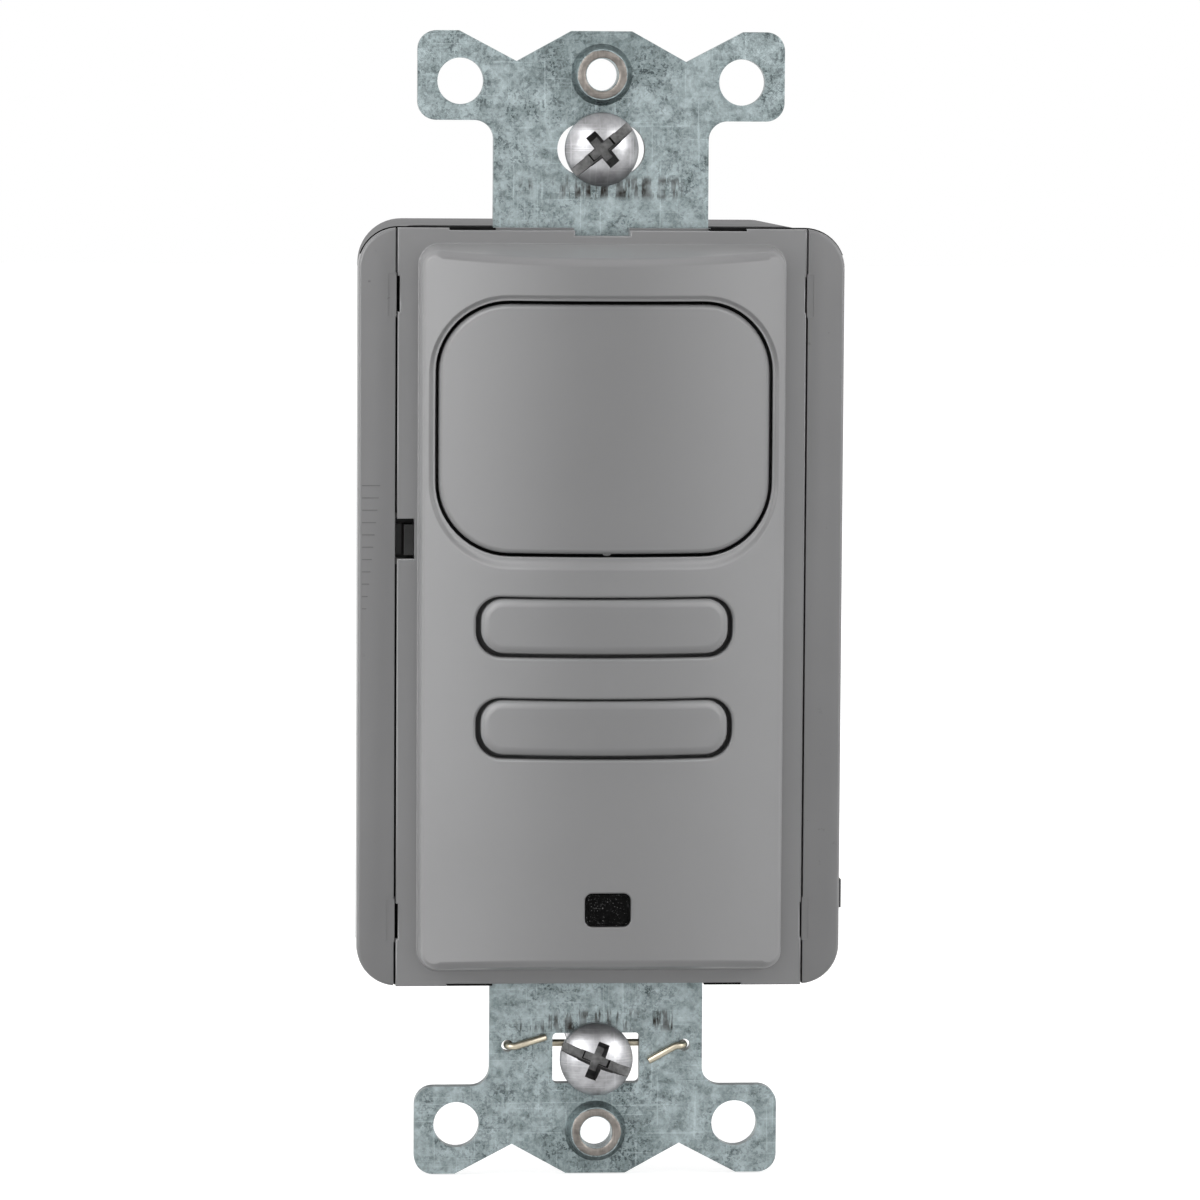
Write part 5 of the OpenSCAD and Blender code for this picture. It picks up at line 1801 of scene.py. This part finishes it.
    def _shank(self) -> Object:
        """Makes the neck and the thread.

        Returns:
            The shank.
        """
        shell = Shell()
        neck, turns = self.neck_d / 2, angles(self.sides)
        tip = shell.add((0.0, -0.3, 0.0))
        rows = [shell.level([(neck * math.cos(a), neck * math.sin(a)) for a in turns], y)
                for y in (-0.3, self.neck_l - 0.15)]
        shell.faces += [(tip, rows[0][k], rows[0][(k + 1) % self.sides]) for k in range(self.sides)]
        count = int(self.thread_l / THREAD_PITCH * self.steps_per_turn)
        for i in range(count + 1):
            y = self.neck_l + self.thread_l * i / count
            radii = [self._thread_r(y, k / self.sides) for k in range(self.sides)]
            rows.append(shell.level([(r * math.cos(a), r * math.sin(a)) for r, a in zip(radii, turns)], y))
        for front, back in zip(rows, rows[1:]):
            shell.bridge(back, front)
        shell.cap(rows[-1], flip=True)
        return shell.to_object(self.name + "_shank", 50.0)

    def build(self, place: Matrix) -> Object:
        """Makes the screw and moves it to its place.

        Args:
            place: Where the underside of the head goes, in mm, with the shank along its own +Y.

        Returns:
            The screw.
        """
        head, shank = self._head(), self._shank()
        soft = bmesh.new()
        soft.from_mesh(head.data)
        sharp = [e for e in soft.edges if len(e.link_faces) == 2 and e.calc_face_angle(0.0) > math.radians(38)]
        bmesh.ops.bevel(soft, geom=sharp, offset=self.edge_r * MM, segments=2, affect="EDGES", clamp_overlap=True)
        soft.from_mesh(shank.data)
        bmesh.ops.recalc_face_normals(soft, faces=soft.faces)
        mesh = bpy.data.meshes.new(self.name)
        soft.to_mesh(mesh)
        soft.free()
        shade(mesh, 42.0)
        self._even_dome(mesh)
        self._mark_recess(mesh)
        shift = place.copy()
        shift.translation = shift.translation * MM
        mesh.transform(shift)
        obj = add_object(self.name, mesh)
        for scrap in (head, shank):
            bpy.data.objects.remove(scrap)
        return obj


def settle_screw(obj: Object, body: Body, palette: Palette, slot: str) -> None:
    """Dresses a screw and gives its recess painted shade and painted highlights.

    Args:
        obj: The screw.
        body: Body that it rides on, which has its node's name too.
        palette: The finishes.
        slot: Material slot of the screw.
    """
    settle(obj, palette, slot, body.value, body=body)
    for name in ("recess_floor", "recess_wall", "recess_edge"):
        obj.data.materials.append(palette.materials[name])


@dataclass
class BoxScrews:
    """The two screws that fix the switch to its wall box."""

    upper_turn: float = 40.0
    lower_turn: float = 158.0

    def dress(self, palette: Palette) -> None:
        """Builds, places and finishes both screws."""
        for body, z, turn in ((Body.TOP_SCREW, BOX_SCREW_Z, self.upper_turn),
                              (Body.BOTTOM_SCREW, -BOX_SCREW_Z, self.lower_turn)):
            place = Matrix.Translation((0.0, STRAP_FRONT - 0.05, z))
            settle_screw(MachineScrew(body.value + "_full", turn=turn).build(place), body, palette, "nickel_steel")


@dataclass
class TerminalScrews:
    """The five terminal screws at the sides."""

    floor_x: float = 17.4
    plate_t: float = 1.0
    strap_t: float = 1.3
    clamp_t: float = 0.8
    neck_l: float = 0.5
    length: float = 5.0

    def dress(self, palette: Palette) -> None:
        """Builds, places and finishes the screws."""
        rows = [(Body.LINE_SCREW, Side.RIGHT, 20.0, "copper_screw"), (Body.LOAD_1_SCREW, Side.RIGHT, 0.0, "red_screw"),
                (Body.LOAD_2_SCREW, Side.RIGHT, -20.0, "blue_screw"),
                (Body.NEUTRAL_SCREW, Side.LEFT, 20.0, "silver_screw"),
                (Body.GROUND_SCREW, Side.LEFT, -20.0, "green_screw")]
        for body, side, z, slot in rows:
            plate = self.strap_t if body is Body.GROUND_SCREW else self.plate_t
            x = side.value * (self.floor_x + plate + self.clamp_t)
            place = Matrix.Translation((x, TERMINAL_Y, z)) @ Matrix.Rotation(math.radians(90.0 * side.value), 4, "Z")
            screw = MachineScrew(body.value + "_full", head_d=7.2, head_h=2.0, rim_h=1.0, slot_depth=1.0, neck_d=3.0,
                                 neck_l=self.neck_l, thread_l=self.length - self.neck_l)
            settle_screw(screw.build(place), body, palette, slot)


@dataclass
class GroundWire:
    """The bent wire at the lower slot, which passes behind the lower screw."""

    wire_d: float = 0.65
    spacing: float = 16.3
    rise: float = 1.17
    bend_r: float = 0.6
    lift_r: float = 0.7
    end_l: float = 3.7
    left_tilt: float = 17.0
    right_tilt: float = 29.0
    gap: float = 0.05
    screw_r: float = 1.75
    blend_r: float = 1.0
    tip_l: float = 0.08
    steps: int = 8

    def _turn(self, centre: Pair, radius: float, first: float, last: float, upright: bool,
              level: float) -> list[Triple]:
        """Points of one bend.

        Args:
            centre: Its centre.
            radius: Its radius.
            first: Angle at its start in degrees.
            last: Angle at its end in degrees.
            upright: True in the front view, False in the view from above.
            level: Y of the plane if upright, otherwise Z.

        Returns:
            The points in mm.
        """
        found = []
        for i in range(self.steps + 1):
            angle = math.radians(first + (last - first) * i / self.steps)
            a, b = centre[0] + radius * math.cos(angle), centre[1] + radius * math.sin(angle)
            found.append((a, level, b) if upright else (a, b, level))
        return found

    def _half(self, tilt: float) -> list[Triple]:
        """Walks from the middle of the wire to the tip of its right half.

        Args:
            tilt: Lift of the end in degrees, or below 0 for a fall.

        Returns:
            Points in mm about the lower screw.
        """
        back = self.wire_d / 2 + self.gap
        front = STRAP_FRONT - self.wire_d / 2 - self.gap
        bend_x = self.spacing / 2 - self.bend_r
        hump = self.screw_r + self.wire_d / 2 + 0.02
        blend_z = self.rise + self.blend_r
        blend_x = math.sqrt((hump + self.blend_r) ** 2 - blend_z ** 2)
        top = math.degrees(math.atan2(blend_z, blend_x))
        way = 90 if tilt > 0 else -90
        lift_z = self.rise + math.copysign(self.lift_r, tilt)
        lift = self._turn((bend_x, lift_z), self.lift_r, -way, -way - tilt, True, front)
        rest = self.end_l - self.bend_r - self.lift_r * math.radians(abs(tilt))
        cos, sin = math.cos(math.radians(tilt)), math.sin(math.radians(tilt))
        end = (lift[-1][0] - rest * cos, front, lift[-1][2] + rest * sin)
        near = (end[0] + self.tip_l * cos, front, end[2] - self.tip_l * sin)
        return (self._turn((0, 0), hump, 90, top, True, back)
                + self._turn((blend_x, blend_z), self.blend_r, top - 180, -90, True, back)[1:]
                + self._turn((bend_x, back - self.bend_r), self.bend_r, 90, 0, False, self.rise)
                + self._turn((bend_x, front + self.bend_r), self.bend_r, 0, -90, False, self.rise)
                + lift[1:] + [near, end])

    def build(self) -> Object:
        """Makes the wire's mesh.

        Returns:
            The wire.
        """
        right, left = self._half(-self.right_tilt), self._half(self.left_tilt)
        line = [(-x, y, z) for x, y, z in reversed(left)][:-1] + right
        shell = Shell()
        tube(shell, [(x, y, z - BOX_SCREW_Z) for x, y, z in line], self.wire_d / 2, 24, 0.07)
        return shell.to_object("ground_wire_smooth", 50.0)

    def dress(self, palette: Palette) -> None:
        """Places the wire and gives it its finish."""
        settle(self.build(), palette, "tinned_wire", "ground_wire_clip")


@dataclass
class CollarBurrs:
    """Rough bare-steel rims on the two collars of the wall-plate screw holes."""

    bore_r: float = 1.46
    rim_r: float = 2.24
    height: float = 0.9
    sides: int = 120

    def build(self, name: str, z: float, seed: int) -> Object:
        """Makes one rim.

        Args:
            name: Name of the piece.
            z: Height of the hole.
            seed: Start of its random waves.

        Returns:
            The rim.
        """
        shell = Shell()
        chance = random.Random(seed)
        waves = [(chance.uniform(0.4, 1.0) / n ** 0.7, chance.uniform(0, 2 * math.pi), n) for n in
                 (2, 3, 5, 9, 14, 23, 31)]
        top = self.height
        profile = [(self.bore_r, 0.15, 0.0), (self.bore_r, top - 0.06, 0.02), (self.bore_r + 0.08, top + 0.03, 0.06),
                   (self.bore_r + 0.25, top + 0.07, 0.09), (self.bore_r + 0.45, top + 0.06, 0.09),
                   (self.rim_r - 0.12, top + 0.04, 0.1), (self.rim_r, top - 0.03, 0.12),
                   (self.rim_r - 0.02, top - 0.12, 0.02), (self.bore_r + 0.1, top - 0.14, 0.0)]
        rows = []
        for number, (radius, rise, rough) in enumerate(profile):
            line = []
            for a in angles(self.sides):
                wave = sum(size * math.sin(n * a + phase + 0.7 * number) for size, phase, n in waves)
                r = radius + 0.5 * rough * wave * (0.0 if number < 2 else 1.0)
                line.append((r * math.cos(a), STRAP_FRONT - rise - 0.35 * rough * abs(wave), z + r * math.sin(a)))
            rows.append(shell.ring(line))
        for inner, outer in zip(rows, rows[1:] + rows[:1]):
            shell.bridge(outer, inner)
        return shell.to_object(name, 55.0)

    def dress(self, palette: Palette) -> None:
        """Places both rims and gives them their finish."""
        for name, z, seed in (("upper_collar_rim", PLATE_HOLE_Z, 3), ("lower_collar_rim", -PLATE_HOLE_Z, 11)):
            settle(self.build(name, z, seed), palette, "zinc_steel", finish="burred_steel")


@dataclass
class SeamParts:
    """Parts that show in the seams round the cover: the latches' tips, near-black as painted shade in their slots, the
    latches' ledges, near-black strips and tubes of painted shade in the seams and beside the strap's neck, and dark
    grey ribs of painted shade at the seams' upper ends.
    """

    tip_x: Pair = (18.3, 18.63)
    tip_z: Pair = (26.7, 30.3)
    tip_front: float = -2.95
    ledge_x: Pair = (18.655, 19.45)
    ledge_z: Pair = (26.5, 30.5)
    ledge_front: float = -3.66
    strip_x: tuple[Pair, ...] = ((-13.88, -9.7), (9.7, 13.08))
    strip_z: Pair = (34.36, 34.55)
    strip_front: float = -3.85
    seam_x: Pair = (18.56, 18.64)
    seam_z: tuple[Pair, ...] = ((-34.5, -30.6), (-26.4, 4.0), (8.7, 26.4))
    seam_front: float = -3.1
    rib_x: Pair = (18.53, 18.67)
    rib_front: float = -3.68
    rib_z: Pair = (30.6, 34.46)
    shade_tube_middle: Pair = (18.45, 30.9)
    shade_tube_turn: float = 3.64
    shade_tube_y: float = -2.8
    shade_tube_r: float = 0.13
    shade_tube_end: float = 9.9

    def _shade_tube_line(self, side: Side) -> list[Triple]:
        """Finds the centre line of the near-black tube of painted shadow beside the strap's neck.

        Args:
            side: Side of the switch.

        Returns:
            Points in mm from the neck to beyond the housing's top corner.
        """
        x, z = self.shade_tube_middle
        turns = [math.radians(90.0 - 7.0 * i) for i in range(11)]
        line = [(self.shade_tube_end, z + self.shade_tube_turn)]
        line += [(x + self.shade_tube_turn * math.cos(t), z + self.shade_tube_turn * math.sin(t)) for t in turns]
        return [(side.value * px, self.shade_tube_y, pz) for px, pz in line]

    def dress(self, palette: Palette) -> None:
        """Builds, places and finishes the parts."""
        tips, ledges, strips, ribs = Shell(), Shell(), Shell(), Shell()
        for side in Side:
            tip, ledge, seam, rib = (sorted(side.value * x for x in pair)
                                     for pair in (self.tip_x, self.ledge_x, self.seam_x, self.rib_x))
            for end in (-1, 1):
                low, high = sorted(end * z for z in self.tip_z)
                block(tips, (tip[0], self.tip_front, low), (tip[1], FLOOR_FRONT, high), 0.08)
                low, high = sorted(end * z for z in self.ledge_z)
                block(ledges, (ledge[0], self.ledge_front, low), (ledge[1], FLOOR_FRONT, high), 0.01)
            for low, high in self.seam_z:
                block(strips, (seam[0], self.seam_front, low), (seam[1], FLOOR_FRONT, high), 0.02)
            block(ribs, (rib[0], self.rib_front, self.rib_z[0]), (rib[1], FLOOR_FRONT, self.rib_z[1]), 0.02)
            tube(strips, self._shade_tube_line(side), self.shade_tube_r, 12)
        for end in (-1, 1):
            low, high = sorted(end * z for z in self.strip_z)
            for left, right in self.strip_x:
                block(strips, (left, self.strip_front, low), (right, FLOOR_FRONT, high), 0.04)
        # Tips, strips, tubes and ribs are dark as painted shade; the ledges keep the wing's grey.
        settle(tips.to_object("latch_tips"), palette, "black_plastic", finish="seam_black")
        settle(ledges.to_object("latch_ledges"), palette, "grey_wing")
        settle(ribs.to_object("seam_ribs"), palette, "grey_wing", finish="housing_plastic")
        settle(strips.to_object("gasket_edges"), palette, "black_plastic", finish="seam_black")


@dataclass
class RoundedHousing:
    """A housing whose outer edges are rounded as moulded."""

    node: str
    slot: str
    front: float
    width: float
    height: float
    radius: float
    edge: float
    steps: int = 4

    def _on_rim(self, edge: bmesh.types.BMEdge) -> bool:
        """Finds the housing's front rim.

        Args:
            edge: An edge of the mesh.

        Returns:
            Whether the edge lies on the rim.
        """
        core_w, core_h = self.width / 2 - self.radius, self.height / 2 - self.radius
        for vert in edge.verts:
            x, y, z = (c / MM for c in vert.co)
            if abs(y - self.front) > 0.02:
                return False
            gap_x, gap_z = max(0.0, abs(x) - core_w), max(0.0, abs(z) - core_h)
            if abs(math.hypot(gap_x, gap_z) - self.radius) > 0.04:
                return False
        return True

    def dress(self, palette: Palette) -> None:
        """Builds, places and finishes the housing."""
        soft = bmesh.new()
        soft.from_mesh(frame["nodes"][self.node].data)
        bmesh.ops.remove_doubles(soft, verts=soft.verts, dist=0.0005 * MM)
        bmesh.ops.dissolve_limit(soft, angle_limit=math.radians(1.0), verts=soft.verts, edges=soft.edges)
        rim = [edge for edge in soft.edges if self._on_rim(edge)]
        LOG.info("%s: %d rim edges", self.node, len(rim))
        bmesh.ops.bevel(soft, geom=rim, offset=self.edge * MM, segments=self.steps, profile=0.5, affect="EDGES",
                        clamp_overlap=True)
        mesh = bpy.data.meshes.new(self.node + "_moulded")
        soft.to_mesh(mesh)
        soft.free()
        shade(mesh, 30.0)
        obj = add_object(mesh.name, mesh)
        soften(obj, 0.1, 2, 40.0)
        settle(obj, palette, self.slot, self.node)


@dataclass
class TickScale:
    """A plain wedge of fine ticks on the left wing, beside the photocell key."""

    x: float = -20.9
    low: float = 0.0
    high: float = 11.2
    count: int = 11
    line_w: float = 0.13
    short: float = 0.45
    long: float = 1.7

    def build(self) -> Object:
        """Makes the ticks' mesh.

        Returns:
            The ticks.
        """
        shell = Shell()
        for i in range(self.count):
            share = i / (self.count - 1)
            length = self.short + (self.long - self.short) * share
            outline = Outline(length, self.line_w, self.line_w / 2 - 0.005, self.x - (self.long - length) / 2,
                              self.low + (self.high - self.low) * share, 0.4, 4)
            front = shell.level(outline.loop(0.02), WING_FRONT - 0.025)
            back = shell.level(outline.loop(), WING_FRONT + 0.05)
            shell.bridge(back, front)
            shell.cap(front)
        return shell.to_object("wing_tick_scale")

    def dress(self, palette: Palette) -> None:
        """Places the ticks and gives them their finish."""
        settle(self.build(), palette, "grey_wing", finish="engraved_lines")


@dataclass
class CadParts:
    """The CAD nodes, with a finish for each and rounded edges for most."""

    edges: dict[str, float] = field(default_factory=lambda: {
        "mounting_strap": 0.1, "rear_housing": 0.35, "photocell_key": 0.12,
        "top_screw_retainer": 0.08, "case_screws": 0.1, "lens_retainer": 0.1, "microcontroller": 0.1, "relay_1": 0.3,
        "relay_2": 0.3, "film_capacitor": 0.3, "pyro_sensor": 0.2, "electrolytic_capacitor": 0.3,
        "power_inductor": 0.15, "varistor": 0.5})
    terminal_edge: float = 0.12

    def dress(self, palette: Palette) -> None:
        """Gives the nodes their finishes and rounds their edges."""
        slots = {row["node"]: row["material_slot"] for row in frame["record"]["subparts"]}
        for name, obj in frame["nodes"].items():
            palette.paint(obj, slots[name])
            if name in self.edges or name.endswith(("_terminal", "_clamp")):
                soften(obj, self.edges.get(name, self.terminal_edge))
        LOG.info("%d CAD nodes dressed", len(slots))


# Camera, light and floor


@dataclass
class Studio:
    """A white studio: four soft lamps, a panel that only reflections see, and a pale floor."""

    distance: float = 0.55
    azimuth: float = -4.331
    elevation: float = 4.772
    roll: float = 0.348
    focal_px: float = 6004.0
    frame_px: float = 1200.0
    sensor: float = 36.0
    target: Triple = (0.000231, 0.0, 0.000485)
    floor_z: float = -0.0525
    floor_half: float = 3.0

    def camera(self) -> None:
        """Puts the camera at the photograph's view."""
        az, el, roll = (math.radians(v) for v in (self.azimuth, self.elevation, self.roll))
        back = Vector((math.sin(az) * math.cos(el), -math.cos(az) * math.cos(el), math.sin(el)))
        right = (-back).cross(Vector((0, 0, 1))).normalized()
        up = right.cross(-back)
        turned_right = math.cos(roll) * right + math.sin(roll) * up
        turned_up = -math.sin(roll) * right + math.cos(roll) * up
        data = bpy.data.cameras.new("camera")
        data.sensor_width = data.sensor_height = self.sensor
        data.sensor_fit = "AUTO"
        data.lens = self.focal_px / self.frame_px * self.sensor
        data.clip_start, data.clip_end = 0.01, 20.0
        camera = add_object("camera", data)
        place = Matrix((turned_right, turned_up, back)).transposed().to_4x4()
        place.translation = Vector(self.target) + back * self.distance
        camera.matrix_world = place
        bpy.context.scene.camera = camera

    def _lamp(self, name: str, place: Triple, size: Pair, power: float) -> None:
        """Adds a soft lamp that looks at the switch.

        Args:
            name: Name of the lamp.
            place: Where it stands in metres.
            size: Width and height in metres.
            power: Power in watts.
        """
        data = bpy.data.lights.new(name, "AREA")
        data.shape = "RECTANGLE"
        data.size, data.size_y = size
        data.energy = power
        lamp = add_object(name, data)
        lamp.visible_glossy = False
        lamp.location = place
        lamp.rotation_euler = (Vector((0, 0, 0)) - Vector(place)).to_track_quat("-Z", "Y").to_euler()

    def lamps(self) -> None:
        """Adds the lamps."""
        self._lamp("left_lamp", (-0.78, -0.05, 0.1), (0.6, 1.1), 13.0)
        self._lamp("right_lamp", (0.78, -0.05, 0.1), (0.6, 1.1), 10.0)
        self._lamp("top_lamp", (0.0, -0.2, 0.75), (0.9, 0.6), 3.2)
        self._lamp("front_lamp", (-0.05, -1.3, 0.3), (1.4, 1.0), 5.5)

    def _plane(self, name: str, corners: list[Triple], material: Material) -> Object:
        """Adds a plane to the stage.

        Args:
            name: Name of the plane.
            corners: Its four corners in metres.
            material: Its material.

        Returns:
            The plane.
        """
        mesh = bpy.data.meshes.new(name)
        mesh.from_pydata(corners, [], [(0, 1, 2, 3)])
        mesh.materials.append(material)
        obj = add_object(name, mesh)
        return obj

    def _seen(self, sheet: NodeSheet) -> NodeSocket:
        """Tells which rays see the white of the room.

        Args:
            sheet: Node sheet of a material or of the world.

        Returns:
            1 for the camera, for clear pieces and for reflections, otherwise 0.
        """
        rays = sheet.add("ShaderNodeLightPath").outputs
        seen = sheet.plus(rays["Is Camera Ray"], rays["Is Transmission Ray"], clamp=True)
        return sheet.plus(seen, rays["Is Glossy Ray"], clamp=True)

    def panel(self) -> None:
        """Stands a soft light panel behind the camera, brighter to the sides, for glossy surfaces alone."""
        material, sheet = new_material("soft_panel")
        across = sheet.split(sheet.coords())["X"]
        left, right = sheet.spread(across, 0.05, -1.7), sheet.spread(across, -0.05, 1.7)
        sides = sheet.plus(sheet.times(left, 8.4), sheet.times(right, 6.2))
        glow = sheet.add("ShaderNodeEmission", Color=(1, 1, 1, 1))
        sheet.join(sheet.plus(sides, 0.3), glow.inputs["Strength"])
        sheet.join(glow.outputs[0], sheet.tree.nodes["Material Output"].inputs["Surface"])
        wide, high, depth = 2.6, 1.7, -1.4
        panel = self._plane("panel", [(-wide, depth, -high), (-wide, depth, high), (wide, depth, high),
                                      (wide, depth, -high)], material)
        panel.visible_camera = panel.visible_diffuse = panel.visible_shadow = panel.visible_transmission = False

    def world(self) -> None:
        """Sets the even light of the white room."""
        world = bpy.data.worlds.new("room")
        world.use_nodes = True
        bpy.context.scene.world = world
        sheet = NodeSheet(world.node_tree)
        sheet.tree.nodes.clear()
        mix = sheet.add("ShaderNodeMixShader")
        sheet.join(self._seen(sheet), mix.inputs[0])
        for number, strength in enumerate((0.07, 1.0), 1):
            room = sheet.add("ShaderNodeBackground", Color=(1, 1, 1, 1), Strength=strength)
            sheet.join(room.outputs[0], mix.inputs[number])
        sheet.join(mix.outputs[0], sheet.add("ShaderNodeOutputWorld").inputs["Surface"])

    def floor(self) -> None:
        """Lays a pale floor under the switch, which keeps its shadow."""
        material, sheet = new_material("pale_floor")
        shader = sheet.tree.nodes["Principled BSDF"]
        shader.inputs["Roughness"].default_value = 0.9
        where = sheet.coords()
        paper = sheet.spread(sheet.noise(where, 40.0, 3.0), 0.3, 0.7)
        sheet.join(sheet.blend(paper, (0.44, 0.44, 0.44, 1), (0.48, 0.48, 0.48, 1)), shader.inputs["Base Color"])
        glow = sheet.add("ShaderNodeEmission", Color=(1, 1, 1, 1))
        flat = sheet.add("ShaderNodeVectorMath", operation="LENGTH")
        sheet.join(where, flat.inputs[0])
        far = sheet.plus(sheet.times(sheet.spread(flat.outputs["Value"], 0.12, 0.5), 0.3), 0.75)
        sheet.join(sheet.times(self._seen(sheet), far), glow.inputs["Strength"])
        both = sheet.add("ShaderNodeAddShader")
        sheet.join(shader.outputs[0], both.inputs[0])
        sheet.join(glow.outputs[0], both.inputs[1])
        sheet.join(both.outputs[0], sheet.tree.nodes["Material Output"].inputs["Surface"])
        corners = ((-1, -1), (1, -1), (1, 1), (-1, 1))
        self._plane("floor", [(self.floor_half * x, self.floor_half * y, self.floor_z) for x, y in corners], material)

    def build(self) -> None:
        """Builds the whole studio."""
        self.camera()
        self.lamps()
        self.world()
        self.floor()
        self.panel()
        bpy.context.scene.view_settings.view_transform = "Standard"


def main() -> None:
    """Builds and dresses the whole switch."""
    logging.basicConfig(level=logging.INFO, format="%(name)s: %(message)s")
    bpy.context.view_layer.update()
    Studio().build()
    palette = Palette()
    CadParts().dress(palette)
    parts = [FrontCover(), SensorLens(), PushButton(Body.UPPER_BUTTON, z=-1.13),
             PushButton(Body.LOWER_BUTTON, z=-10.3), PhotocellWindow(), BoxScrews(), TerminalScrews(), GroundWire(),
             CollarBurrs(), TickScale(), SeamParts(),
             RoundedHousing("front_housing", "grey_wing", WING_FRONT, width=44.2, height=69.1, radius=3.65, edge=0.3)]
    for part in parts:
        part.dress(palette)
    LOG.info("boxes written")


if __name__ == "__main__":
    main()
